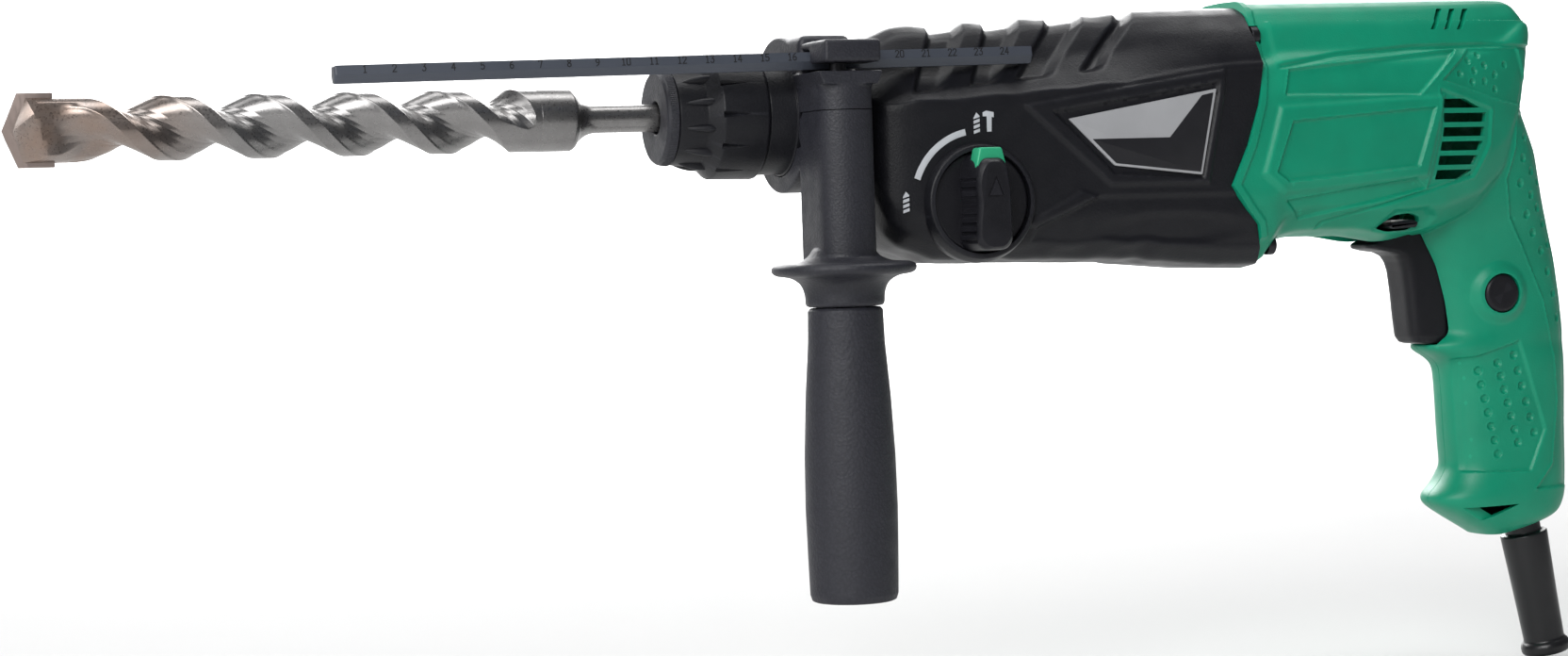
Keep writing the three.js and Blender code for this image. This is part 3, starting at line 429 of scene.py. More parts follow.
class Shader:
    """A material's nodes, with short calls to add and link them."""

    def __init__(self, name, color, roughness, metallic=0.0):
        self.material = bpy.data.materials.new(name)
        self.material.use_nodes = True
        self.tree = self.material.node_tree
        self.bsdf = self.tree.nodes["Principled BSDF"]
        self.bsdf.inputs["Base Color"].default_value = (*color, 1)
        self.bsdf.inputs["Roughness"].default_value = roughness
        self.bsdf.inputs["Metallic"].default_value = metallic
        self.place = self.tree.nodes.new("ShaderNodeTexCoord").outputs["Object"]

    def node(self, kind, inputs=(), **settings):
        made = self.tree.nodes.new(kind)
        for key, value in settings.items():
            setattr(made, key, value)
        for key, value in dict(inputs).items():
            if isinstance(value, bpy.types.NodeSocket):
                self.tree.links.new(value, made.inputs[key])
            else:
                made.inputs[key].default_value = value
        return made

    def noise(self, scale, detail=3.0, stretch=None):
        """Noise of that many features per metre, stretched along one axis if asked."""
        place = self.place
        if stretch:
            place = self.node("ShaderNodeMapping", {"Vector": place, "Scale": stretch}).outputs[0]
        inputs = {"Vector": place, "Scale": scale, "Detail": detail}
        return self.node("ShaderNodeTexNoise", inputs).outputs[0]

    def cells(self, scale):
        inputs = {"Vector": self.place, "Scale": scale}
        return self.node("ShaderNodeTexVoronoi", inputs).outputs["Distance"]

    def ranged(self, value, low, high, to_low, to_high):
        inputs = {"Value": value, "From Min": low, "From Max": high, "To Min": to_low, "To Max": to_high}
        return self.node("ShaderNodeMapRange", inputs).outputs[0]

    def mixed(self, factor, a, b):
        """A colour between a and b; each is a colour or another mix."""
        made = self.node("ShaderNodeMix", {"Factor": factor}, data_type="RGBA")
        for socket, value in zip((made.inputs[6], made.inputs[7]), (a, b)):
            if isinstance(value, bpy.types.NodeSocket):
                self.tree.links.new(value, socket)
            else:
                socket.default_value = (*value, 1)
        return made.outputs[2]

    def product(self, a, b):
        return self.node("ShaderNodeMath", {0: a, 1: b}, operation="MULTIPLY").outputs[0]

    def color(self, socket):
        self.tree.links.new(socket, self.bsdf.inputs["Base Color"])

    def roughness(self, socket):
        self.tree.links.new(socket, self.bsdf.inputs["Roughness"])

    def bump(self, height, distance, strength=1.0):
        inputs = {"Height": height, "Distance": distance, "Strength": strength}
        previous = self.bsdf.inputs["Normal"]
        made = self.node("ShaderNodeBump", inputs)
        if previous.is_linked:
            self.tree.links.new(previous.links[0].from_socket, made.inputs["Normal"])
        self.tree.links.new(made.outputs[0], previous)

    def edges(self):
        """How much a point stands out from its surroundings, for edges painted lighter: partly edge wear,
        partly a painted sheen.
        """
        pointiness = self.node("ShaderNodeNewGeometry").outputs["Pointiness"]
        return self.ranged(pointiness, 0.51, 0.56, 0.0, 1.0)


def plastic(name, color, roughness, grain=1500.0, depth=0.00006, edge_wear_and_sheen=1.6, gloss=0.5):
    """Moulded plastic: an eroded grain, uneven gloss and edges painted lighter, partly as wear and partly
    as a painted sheen.
    """
    s = Shader(name, color, roughness)
    dark = tuple(c * 0.9 for c in color)
    wear_and_sheen_color = tuple(min(1.0, c * edge_wear_and_sheen + 0.004) for c in color)
    body = s.mixed(s.ranged(s.noise(60.0), 0.35, 0.65, 0.0, 1.0), dark, color)
    # Edges are painted lighter: partly edge wear, partly a painted highlight along them.
    s.color(s.mixed(s.product(s.edges(), 0.45), body, wear_and_sheen_color))
    s.roughness(s.ranged(s.noise(140.0), 0.3, 0.7, roughness - 0.05, roughness + 0.05))
    s.bump(s.noise(grain, 2.0), depth)
    s.bsdf.inputs["Specular IOR Level"].default_value = gloss
    return s.material


def grained(name, color, roughness, scale, depth):
    """Soft plastic with a leather-like grain of small cells."""
    s = Shader(name, color, roughness)
    cell = s.cells(scale)
    light = tuple(c * 1.35 for c in color)
    s.color(s.mixed(s.ranged(cell, 0.1, 0.7, 0.0, 1.0), light, color))
    s.roughness(s.ranged(s.noise(scale * 0.2), 0.3, 0.7, roughness - 0.06, roughness + 0.06))
    s.bump(cell, depth, 0.8)
    s.bump(s.noise(scale * 2.5, 2.0), depth * 0.4)
    return s.material


def metal(name, color, roughness, stretch, scale=900.0, depth=0.00001, tint=None):
    """Worked metal: fine scratches along one axis, smudged gloss and a slight change of tone."""
    s = Shader(name, color, roughness, 1.0)
    lines = s.noise(scale, 4.0, stretch)
    dark = tuple(c * 0.82 for c in color)
    body = s.mixed(s.ranged(s.noise(45.0, 4.0), 0.35, 0.65, 0.0, 1.0), dark, color)
    if tint:
        body = tint(s, body)
    s.color(body)
    s.roughness(s.ranged(lines, 0.25, 0.75, roughness - 0.07, roughness + 0.1))
    s.bump(lines, depth)
    return s.material


def heat_tint(s, body):
    """The coppery colour that brazing leaves, strongest at the bit's tip."""
    x = s.node("ShaderNodeSeparateXYZ", {"Vector": s.place}).outputs[0]
    tip = box_mm("bit_carbide_tip")[0][0] * MM
    near = s.ranged(x, tip + 0.02, tip + 0.075, 1.0, 0.0)
    patchy = s.product(near, s.ranged(s.noise(70.0), 0.3, 0.7, 0.35, 1.0))
    return s.mixed(patchy, body, (0.34, 0.235, 0.18))


GREEN = plastic("green_nylon", (0.002, 0.3, 0.168), 0.42, 1700.0, 0.00005, 1.35, 0.42)
BLACK = plastic("black_nylon", (0.0085, 0.0088, 0.0118), 0.42, 1300.0, 0.00009, 2.2, 0.32)
CONTROL = plastic("control_black", (0.009, 0.009, 0.012), 0.4, 2000.0, 0.00004, 2.0, 0.32)
HANDLE_BLACK = grained("handle_black", (0.0165, 0.017, 0.0235), 0.5, 1150.0, 0.00011)
GRIP_RUBBER = grained("grip_rubber", (0.0185, 0.019, 0.026), 0.55, 900.0, 0.00014)
GUARD_RUBBER = plastic("guard_rubber", (0.009, 0.009, 0.0105), 0.33, 900.0, 0.00002, 1.3)
BUTTON_GREEN = plastic("button_green", (0.03, 0.42, 0.21), 0.32, 1600.0, 0.00002, 1.2)
MARK_WHITE = plastic("mark_print", (0.62, 0.64, 0.68), 0.5, 1500.0, 0.00001, 1.0)
MARK_DARK = plastic("mark_pressed", (0.004, 0.004, 0.005), 0.6, 1500.0, 0.00001, 1.0)
FAN = plastic("fan_nylon", (0.5, 0.49, 0.44), 0.45)
CARBON = plastic("brush_carbon", (0.02, 0.02, 0.02), 0.6, edge_wear_and_sheen=1.5)
BIT_STEEL = metal("bit_steel", (0.33, 0.322, 0.318), 0.3, (1.0, 1.0, 1.0), 1400.0, 0.000003, heat_tint)
CARBIDE = metal("carbide", (0.4, 0.325, 0.295), 0.42, (3.0, 3.0, 1.0), 300.0, 0.00004)
STEEL = metal("ground_steel", (0.6, 0.59, 0.57), 0.28, (1.0, 8.0, 8.0))
DARK_STEEL = metal("dark_steel", (0.06, 0.06, 0.066), 0.42, (1.0, 8.0, 8.0))
GAUGE_STEEL = plastic("gauge_black", (0.042, 0.048, 0.062), 0.38, 2500.0, 0.00003, 2.0)
ALUMINIUM = metal("cast_aluminium", (0.7, 0.7, 0.71), 0.42, (1.0, 1.0, 1.0), 1200.0, 0.00005)
PLATE_SILVER = plastic("plate_silver", (0.4, 0.405, 0.42), 0.32, 1500.0, 0.000005, 1.2)
PLATE_DARK = plastic("plate_field", (0.012, 0.012, 0.015), 0.4, 2600.0, 0.00001, 1.2)
COPPER = metal("copper_winding", (0.8, 0.35, 0.15), 0.35, (8.0, 1.0, 1.0), 1600.0, 0.0001)
LAMINATE = metal("stator_laminate", (0.3, 0.3, 0.31), 0.45, (20.0, 1.0, 1.0), 900.0, 0.00008)


# ---- pieces -----------------------------------------------------------------------------


def piece(obj, name, material, body, replaces=(), crease=35.0):
    """Turns a scratch solid into a finished piece: metres, shading, material and body, with the CAD parts
    it replaces hidden.
    """
    obj.name = name
    obj.data.name = name
    moved(obj, Matrix.Scale(MM, 4))
    obj.data.materials.clear()
    obj.data.materials.append(material)
    obj.data.polygons.foreach_set("material_index", [0] * len(obj.data.polygons))
    obj.data.polygons.foreach_set("use_smooth", [True] * len(obj.data.polygons))
    obj.data.set_sharp_from_angle(angle=math.radians(crease))
    obj.data.update()
    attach(obj, body)
    if replaces:
        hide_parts(*replaces)
    return obj


# ---- the bit ----------------------------------------------------------------------------


BIT_R = 10.85
# The bit's section over half a turn, as (degrees from the margin's leading edge, radius):
# the margin, a narrow relief, then the flute.
BIT_SECTION = [
    (0, BIT_R), (35, BIT_R), (37.5, 10.3), (56, 8.7), (59, 8.2), (75, 6.4), (94, 5.2), (114, 5.1),
    (134, 6.2), (154, 8.2), (168, 9.6), (176, 10.3), (180, BIT_R),
]
BIT_PITCH = 61.6
MARGIN_AT = -187.3
HEAD_HALF = 6.5
HEAD_TWIST = 131.0
FLUTE_END = -43.0


def bit_radius(x, angle):
    """The bit's radius: a flat-sided head that turns into two deep flutes and ends on the shank."""
    degrees = np.degrees(angle)
    per_mm = 360.0 / BIT_PITCH
    start = MARGIN_AT - (180.0 - HEAD_TWIST) / per_mm
    soft = 3.5
    leading = HEAD_TWIST + per_mm * soft * np.logaddexp(0, (x - start) / soft)
    where = np.mod(leading - degrees, 180.0)
    table = np.array(BIT_SECTION)
    fluted = np.interp(where, table[:, 0], table[:, 1])
    run_out = 6.2 * np.clip((x + 60.5) / 15.5, 0, 1.2) ** 1.5
    fluted = np.minimum(fluted + run_out, BIT_R)
    head = np.minimum(HEAD_HALF / np.maximum(np.abs(np.cos(angle)), 0.01), BIT_R)
    blend = smooth(np.array((x + 207.5) / 11.0))
    return head * (1 - blend) + fluted * blend


def ground_off(plane):
    """A tool that takes away what stands in front of x = plane(y, z)."""
    corners = [(-16, -16), (16, -16), (16, 16), (-16, 16)]
    return grid_solid([[(-260, y, z) for y, z in corners], [(plane(y, z), y, z) for y, z in corners]])


def bit_pieces():
    high = box_mm("drill_bit")[1]
    tip_low, tip_high = box_mm("bit_carbide_tip")
    tip, head = tip_low[0], tip_high[0]
    head_r = tip_high[2]
    plain_r, neck_r, shank_r = high[2] - 0.1, 4.8, 4.95
    places = np.concatenate([np.linspace(tip, -209, 8), np.linspace(-208, FLUTE_END, 620)])
    angle = np.linspace(0, 2 * np.pi, 300, endpoint=False)
    rings = []
    for x in places:
        r = bit_radius(x, angle)
        rings.append(np.stack([np.full(len(angle), x), r * np.cos(angle), r * np.sin(angle)], -1))
    flutes = grid_solid(rings)
    steel_face = lambda y, z: tip + 2.0 + 1.96 * (-1.5 - y) + 0.283 * (-1.6 - z)
    steel_flank = lambda y, z: tip + 2.6 - 1.045 * (y + 2) + 0.419 * (z + 1)
    roof = [steel_face, lambda y, z: steel_face(-y, -z), steel_flank, lambda y, z: steel_flank(-y, -z)]
    flutes = cut(flutes, *[ground_off(plane) for plane in roof])
    fillet = [[-29.2 + 8.2 * t, neck_r + 4.0 * (1 - t) ** 2.3] for t in np.linspace(0, 1, 9)]
    shank = lathe(
        [
            [FLUTE_END - 0.6, 0], [FLUTE_END - 0.6, plain_r], [-31.2, plain_r],
            [-29.9, plain_r - 0.9],
            *fillet,
            [4, neck_r],
            [4.6, shank_r],
            [high[0] - 1, shank_r],
            [high[0], shank_r - 1],
            [high[0], 0],
        ],
        "x",
        radius=0.6,
        sides=160,
    )
    grooves = [block((7, -2.6, 4.2), (29, 2.6, 6)), block((7, -2.6, -6), (29, 2.6, -4.2))]
    slot = block((tip - 4, -2.4, -15), (head + 0.1, 2.4, 15))
    bit = cut(union(flutes, shank), slot, *grooves)
    piece(bit, "bit_steel_body", BIT_STEEL, "bit", ["drill_bit"], 30)

    outline = [
        (tip, 0.0), (tip + 5.1, head_r), (head, head_r), (head, -head_r), (tip + 5.1, -head_r),
    ]
    plate = prism(outline, -2.35, 2.35, "y", 0.12)
    edge_face = lambda y, z: tip - 0.05 - 1.1 * y - 0.45 * z
    plate = cut(plate, ground_off(edge_face), ground_off(lambda y, z: edge_face(-y, -z)))
    piece(plate, "bit_carbide_plate", CARBIDE, "bit", ["bit_carbide_tip"], 20)


# ---- the chuck --------------------------------------------------------------------------


def chuck_pieces():
    cap_high = box_mm("front_cap")[1]
    r = cap_high[2]

    def band(along, radius, angle):
        """Fine knurling on the cap's rim."""
        return radius + 0.07 * np.sin(150 * angle) * (along > 1.2) * (radius > r - 1.2)

    loop = [
        (0.5, 5.8), (0.2, 6.6), (0.0, 9.0), (0.0, r - 1.3), (1.0, r - 0.5),
        (cap_high[0], r),
        (cap_high[0], 12.5),
        (2.3, 12.5),
        (2.3, 5.8),
    ]
    cap = ring_body(loop, "x", sides=600, radius=0.5, wave=band)
    piece(cap, "chuck_front_cap", HANDLE_BLACK, "spindle", ["front_cap"])

    low, high = box_mm("grip_sleeve")
    rear = high[2]
    loop = [
        (low[0], 12.6),
        (low[0], 16.6),
        (14.6, 17.6),
        (19.0, rear - 0.3),
        (high[0] - 0.8, rear),
        (high[0], rear - 0.8),
        (high[0], rear - 0.9 + 0.1),
        (high[0], 21.45),
        (24.2, 21.45), (24.2, 15.3), (12.2, 15.3), (12.2, 12.6),
    ]
    sleeve = ring_body(loop, "x", sides=256, radius=0.5)
    count = 12
    ribs = []
    notches = []
    for i in range(count):
        degrees = (i + 0.5) * 360 / count
        rib = lens_rib(6.2, 18.2, 16.2, 19.3, 1.5)
        ribs.append(turned_about(rib, degrees, "X"))
        notch = wedge_notch(18.6, 29.5, rear)
        notches.append(turned_about(notch, i * 360 / count, "X"))
    sleeve = union(sleeve, combined(ribs))
    sleeve = cut(sleeve, combined(notches))
    piece(sleeve, "chuck_grip_sleeve", BLACK, "chuck_sleeve", ["grip_sleeve"], 30)
    spring_piece()


def spring_piece():
    """The chuck's spring, drawn as one fixed coil in front of its rear seat; it does not shorten as the
    sleeve is drawn back.
    """
    start, length, turns, coil_r, wire_r, travel, seat = 16.8, 11.2, 3.5, 13.6, 0.65, 4.5, 28.5
    around = [k / 12 * 2 * math.pi for k in range(12)]
    rings = []
    for i in range(int(turns * 36) + 1):
        a = i / 36 * 2 * math.pi
        x = start + length * i / 36 / turns
        ring = []
        for b in around:
            r = coil_r + wire_r * math.cos(b)
            ring.append((x + wire_r * math.sin(b), r * math.cos(a), r * math.sin(a)))
        rings.append(ring)
    coil = grid_solid(rings)
    piece(coil, "chuck_spring_coil", STEEL, "spindle", ["chuck_spring"], 40)
    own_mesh(coil)


def lens_rib(x0, x1, floor_r, crest_r, half):
    """A finger rib on the sleeve: pointed in front, highest and blunt at its rear end."""
    rings = []
    for t in np.linspace(0, 1, 14):
        x = x0 + (x1 - x0) * t
        swell = math.sin(min(t, 0.86) / 0.86 * math.pi / 2) ** 0.8
        end = 1 - 0.7 * smooth(np.array((t - 0.86) / 0.14))
        width = 0.12 + half * swell * end
        crest = floor_r + 0.2 + (crest_r - floor_r) * swell
        ring = []
        for a in np.linspace(0, np.pi, 13):
            ring.append((x, width * math.cos(a), floor_r + (crest - floor_r) * math.sin(a) ** 0.8))
        ring.append((x, -width, floor_r - 1.5))
        ring.append((x, width, floor_r - 1.5))
        rings.append(ring)
    return grid_solid(rings)


def wedge_notch(x0, x1, rear):
    """A V-shaped notch that is deep at the ring's front edge and runs out towards its rear."""
    rings = []
    for t in np.linspace(0, 1, 10):
        x = x0 + (x1 - x0) * t
        depth = 1.9 * (1 - t) + 0.02
        half = 2.1 * (1 - t) + 0.1
        top = rear + 1.5
        edge = rear - 0.1
        section = [(-half, top), (-half * 0.7, edge), (0, rear - depth), (half * 0.7, edge), (half, top)]
        rings.append([(x, y, z) for y, z in section])
    return grid_solid(rings)


# ---- the side handle --------------------------------------------------------------------

GAUGE_LOW, GAUGE_HIGH = box_mm("depth_gauge")
GRIP_LOW, GRIP_HIGH = box_mm("side_grip")
RING_FRONT, RING_REAR = 46.3, 66.0
RING_R, RING_BORE = 27.6, 21.8
COLUMN_X = (RING_FRONT + RING_REAR) / 2
COLUMN_Y = (GRIP_LOW[1] + GRIP_HIGH[1]) / 2
OUTER_Y = -47.5
BOLT_HOLE_R = 3.2
COLLAR_CLEARANCE_R = 29.4
GAUGE_Y = (GAUGE_LOW[1] + GAUGE_HIGH[1]) / 2
GAUGE_TILT = 0.014
GAUGE_Z = 17.0


def gauge_solid(extra, x0, x1, bevel=0.0):
    """The depth gauge's rod: a broad numbered face over a narrow slanting one, on both sides."""
    w, h = 3.3 + extra, 2.9 + extra
    upper = [(-w, -0.3), (-w + 0.45, h), (w - 0.45, h), (w, -0.3)]
    outline = upper + [(w - 1.5, -h - 0.2), (-w + 1.5, -h - 0.2)]
    rod_solid = prism(outline, x0, x1, "x", bevel)
    turned_about(rod_solid, -math.degrees(GAUGE_TILT), "Y")
    return moved(rod_solid, Matrix.Translation((0, GAUGE_Y, GAUGE_Z)))


def column_outline():
    outline = [(RING_FRONT, -20), (RING_FRONT, -38.6)]
    reach = COLUMN_X - RING_FRONT
    for i in range(1, 24):
        a = i / 24 * math.pi
        x = COLUMN_X - reach * math.cos(a) * 0.995
        outline.append((x, -39.2 + (OUTER_Y + 39.2) * math.sin(a) ** 0.9))
    return outline + [(RING_REAR, -38.6), (RING_REAR, -20)]


def handle_pieces():
    flange = -52.2
    centre = (COLUMN_X, COLUMN_Y, 0)
    grip_top = GRIP_HIGH[2]
    stem = lathe(
        [
            [flange + 6, 0], [flange + 5, 10.4], [flange + 1.6, 12.6], [flange, 16.5],
            [flange - 0.4, 23.4], [flange - 1.4, 25.3], [flange - 3.4, 25.3], [flange - 4.5, 23.6],
            [flange - 5.2, 18.6], [flange - 7.4, 15.2], [flange - 11, 13.9], [grip_top + GAP, 13.8],
            [grip_top + GAP, 0],
        ],
        "z",
        centre,
        sides=144,
        radius=1.6,
    )
    ring = rod(RING_FRONT, RING_REAR, RING_R, "x", sides=160)
    shaft = prism(column_outline(), flange - 1, 10.5, "z")
    flare = [(RING_FRONT - 2, 13.2), (RING_FRONT, 8.6), (RING_REAR, 8.6), (RING_REAR + 2, 13.2)]
    lip = prism(flare, OUTER_Y, -20, "y")
    crown = block((RING_FRONT, -24, 12), (RING_REAR, -3, 27.0), 3.0)
    whole = union(ring, shaft, stem, lip, crown)
    whole = remeshed(whole, 0.42, 7)

    def tools():
        made = [rod(RING_FRONT - 5, RING_REAR + 5, RING_BORE, "x", sides=160)]
        made.append(rod(-120, 40, BOLT_HOLE_R, "z", centre, 32))
        return made

    # Scallops around the bore's front edge.
    bite = [(-1.5, -3.2), (1.2, -1.6), (3.4, 0), (1.2, 1.6), (-1.5, 3.2)]
    bite = [(RING_BORE + out, across) for out, across in bite]
    bites = []
    for degrees in (62, 90, 118, 242, 270, 298):
        tool = prism(bite, RING_FRONT - 2, RING_FRONT + 3, "x", 0, 0.8)
        bites.append(turned_about(tool, degrees - 90, "X"))
    lower = common(copy_of(whole), block((20, -70, -80), (90, 45, -GAP / 2)))
    lower = cut(lower, *tools(), combined(bites))
    piece(lower, "handle_clamp_lower", HANDLE_BLACK, "side_handle", ["clamp_lower"], 38)

    upper = common(whole, block((20, -70, GAP / 2), (90, 45, 60)))
    slit = prism([(50, -4.5), (63, -4.5), (63, 2), (50, 2)], 26.6, 32, "z", 0, 2.5)
    upper = cut(upper, *tools(), gauge_solid(GAP, 20, 90), slit)
    piece(upper, "handle_clamp_upper", HANDLE_BLACK, "side_handle", ["clamp_upper"], 38)

    low, high = box_mm("gauge_clamp")
    high += (2.0, 0.0, -1.0)
    outline = [(low[1], 16.2), (-31.7, 16.2), (-31.7, 21.3), (high[1], 21.3)]
    outline += [(high[1], high[2]), (low[1], high[2])]
    cap = prism(outline, low[0], high[0], "x", 1.1, 1.6)
    pocket = rod(21.6, 30, 5.9, "z", centre, 6)
    bore = rod(0, 40, BOLT_HOLE_R, "z", centre, 32)
    clearance = rod(0, 90, COLLAR_CLEARANCE_R, "x", sides=160)
    cap = cut(cap, gauge_solid(GAP, 20, 90), pocket, bore, clearance)
    piece(cap, "gauge_clamp_block", HANDLE_BLACK, "side_handle", ["gauge_clamp"], 38)

    span = GRIP_HIGH[2] - GRIP_LOW[2]
    bulge = [(0.0, 12.2), (0.01, 13.1), (0.12, 13.4), (0.3, 14.8)]
    bulge += [(0.5, 15.8), (0.68, 16.05), (0.85, 15.7), (0.975, 15.35)]
    profile = [[GRIP_HIGH[2], 3.7]] + [[GRIP_HIGH[2] - t * span, r] for t, r in bulge]
    profile += [[GRIP_LOW[2] + 0.5, 14.7], [GRIP_LOW[2], 13.6], [GRIP_LOW[2], 0.0]]
    profile += [[-112, 0.0], [-112, 3.7]]
    grip = ring_body(profile, "z", centre, sides=144, radius=0.3)
    piece(grip, "side_grip_sleeve", GRIP_RUBBER, "side_grip", ["side_grip"], 35)

    bolt_low, bolt_high = box_mm("handle_bolt")
    top = bolt_high[2]
    shank = rod(bolt_low[2], top - 2.4, 2.9, "z", centre, 32)
    head = lathe([[top - 2.7, 0], [top - 2.7, 5.4], [top, 5.4], [top, 0]], "z", centre, 6, 0.3)
    bolt = union(shank, head)
    # The bolt is painted dark as shade: its own finish is bright steel, darkened here so the gap under
    # the gauge reads as shaded.
    piece(bolt, "handle_clamp_bolt", DARK_STEEL, "side_handle", ["handle_bolt"])


# Strokes of each digit on a grid 2 wide and 4 tall.
DIGITS = {
    "0": [[(0.4, 0), (0, 0.6), (0, 3.4), (0.4, 4), (1.6, 4), (2, 3.4), (2, 0.6), (1.6, 0), (0.4, 0)]],
    "1": [[(0.4, 3.3), (1.1, 4), (1.1, 0)], [(0.4, 0), (1.8, 0)]],
    "2": [[(0, 3.2), (0.5, 4), (1.6, 4), (2, 3.2), (1.9, 2.5), (0, 0), (2, 0)]],
    "3": [[(0, 4), (2, 4), (0.9, 2.4), (1.7, 2.2), (2, 1.3), (1.6, 0.2), (0.5, 0), (0, 0.6)]],
    "4": [[(1.5, 0), (1.5, 4), (0, 1.2), (2.1, 1.2)]],
    "5": [[(1.9, 4), (0.2, 4), (0.1, 2.3), (1.4, 2.5), (2, 1.6), (1.7, 0.3), (0.6, 0), (0, 0.4)]],
    "6": [
        [(1.7, 4), (0.5, 3.1), (0, 1.6), (0.3, 0.3), (1, 0), (1.8, 0.4)]
        + [(2, 1.4), (1.5, 2.2), (0.2, 1.9)],
    ],
    "7": [[(0, 3.5), (0, 4), (2, 4), (0.8, 0)]],
    "8": [
        [(1, 2.2), (0.2, 2.8), (0.3, 3.7), (1, 4), (1.7, 3.7), (1.8, 2.8), (1, 2.2)],
        [(1, 2.2), (0, 1.4), (0.1, 0.4), (1, 0), (1.9, 0.4), (2, 1.4), (1, 2.2)],
    ],
    "9": [
        [(0.3, 0), (1.5, 0.9), (2, 2.4), (1.7, 3.7), (1, 4), (0.2, 3.6)]
        + [(0, 2.6), (0.5, 1.8), (1.8, 2.1)],
    ],
}


def stroke_bars(points, width):
    """Each stretch of a stroke as a thin flat bar, with the ends lapped."""
    bars = []
    for (ax, az), (bx, bz) in zip(points[:-1], points[1:]):
        length = math.hypot(bx - ax, bz - az)
        tx, tz = (bx - ax) / length * width / 2, (bz - az) / length * width / 2
        corners = [(ax - tx - tz, az - tz + tx), (ax - tx + tz, az - tz - tx)]
        corners += [(bx + tx + tz, bz + tz - tx), (bx + tx - tz, bz + tz + tx)]
        bars.append(corners)
    return bars


def gauge_pieces():
    rod_solid = gauge_solid(0, GAUGE_LOW[0], GAUGE_HIGH[0], 0.8)
    piece(rod_solid, "depth_gauge_rod", GAUGE_STEEL, "depth_gauge", ["depth_gauge"], 25)
    marks = []
    w = 3.3
    unit, advance = 0.6, 1.8
    lean = math.degrees(math.atan2(0.45, 3.2))
    for n in range(1, 25):
        text = str(n)
        x = GAUGE_LOW[0] + 10.1 + 10.0 * (n - 1) - advance * (len(text) - 1) / 2
        for k, digit in enumerate(text):
            for stroke in DIGITS[digit]:
                line = [(x + k * advance + (a - 1) * unit, 0.25 + b * unit) for a, b in stroke]
                for shift, corners in enumerate(stroke_bars(line, 0.34)):
                    depth = 0.05 + 0.004 * (shift % 3)
                    bar = prism(corners, -w + 0.3, -w - depth, "y")
                    marks.append(turned_about(bar, -lean, "X", (0, -w, -0.3)))
    every = combined(marks)
    turned_about(every, -math.degrees(GAUGE_TILT), "Y")
    moved(every, Matrix.Translation((0, GAUGE_Y, GAUGE_Z)))
    piece(every, "depth_gauge_marks", MARK_DARK, "depth_gauge")


# ---- the gear case ----------------------------------------------------------------------

# Where the black case meets the green housing, as (x, z) from top to bottom.
SEAM = [
    (224.0, 45.0), (221.0, 26.7), (222.0, 14.3), (219.0, -1.0), (214.2, -15.3), (207.2, -30.0),
    (213.4, -38.6), (218.3, -44.2), (222.0, -60.0), (222.0, -250.0),
]
KNOB_AT = (108.0, 0.0, -33.0)
CASE_SIDE = 35.0
NOSE_R, SEAT_R = 20.9, 21.5

# x, top, bottom, half width
CASE_STATIONS = [
    (70, 23, -27, 24), (74, 26, -43, 31), (80, 28.6, -49, 33.5), (86, 31.3, -51, 34.6),
    (93, 31.9, -54, CASE_SIDE), (101, 31.1, -54.4, CASE_SIDE), (115.4, 32.9, -54.4, CASE_SIDE),
    (123.5, 32.1, -55.3, CASE_SIDE), (132.2, 33.2, -54.4, CASE_SIDE), (138, 33.9, -55.4, CASE_SIDE),
    (145, 33.4, -56, CASE_SIDE), (157, 34.9, -55.2, CASE_SIDE), (167, 34.2, -56.9, CASE_SIDE),
    (174, 35.2, -55.8, CASE_SIDE), (181, 36, -57.4, CASE_SIDE), (205, 36.4, -59.7, CASE_SIDE),
    (232, 37, -60.3, CASE_SIDE),
]
CASE_DOME = [(0, 1), (0.3, 0.96), (0.48, 0.85), (0.6, 0.63), (0.68, 0.45), (0.81, 0.26), (1, 0)]
CASE_SHOULDER = [0, 0.36, 0.58, 0.76, 0.86, 0.94, 1]
CASE_KEEL = [(1, 0.7), (1, 0.27), (0.93, 0.12), (0.74, 0.02), (0.4, 0), (0, 0)]

# Each groove between the finger ribs: its steep drop and its gentle slope, as (x, z) low and high.
RIB_GROOVES = [
    (((87.8, 10.0), (98.1, 27.0)), ((98.3, 5.8), (113.0, 30.0))),
    (((109.1, 11.0), (119.1, 27.0)), ((119.1, 8.8), (134.3, 30.0))),
    (((126.5, 11.5), (141.4, 27.0)), ((139.7, 10.5), (157.9, 30.0))),
    (((150.3, 12.0), (166.6, 27.0)), ((160.2, 12.9), (176.5, 30.0))),
]
RIB_DEPTH = 2.5
RIB_LEDGE = [(78.0, 4.4), (84.9, 5.0), (118.7, 8.8), (139.7, 10.5), (160.2, 12.9), (184.0, 15.6)]

PLATE_FRAME = [(126.2, 0.7), (205.9, 11.9), (205.4, 4.0), (198.1, -28.7), (159.1, -28.4)]
PLATE_WELL = [(137.2, -1.9), (203.0, 7.6), (202.6, 3.2), (195.8, -26.8), (160.2, -24.2)]


def side_wave(x, z, faces_side):
    """The case's flat sides: the plate's frame, the ridge beside the knob and the scoop below."""
    h = panel(x, z, PLATE_FRAME, 1.0, 1.6)
    h -= panel(x, z, PLATE_WELL, 1.35, 1.5)
    ramp = [(124.5, -41.6), (147.5, -30.2), (154.0, -32.4), (131.5, -42.6)]
    h += panel(x, z, ramp, 0.9, 1.6)
    below = [(131.0, -41.8), (153.8, -32.6), (240.0, -33.2), (240.0, -70.0), (120.0, -70.0)]
    h -= panel(x, z, below, 0.9, 1.6)
    scoop = np.hypot((x - 184.0) / 34.0, (z + 45.0) / 7.0)
    h -= 1.0 * smooth((1.0 - scoop) / 0.5)
    return h * faces_side


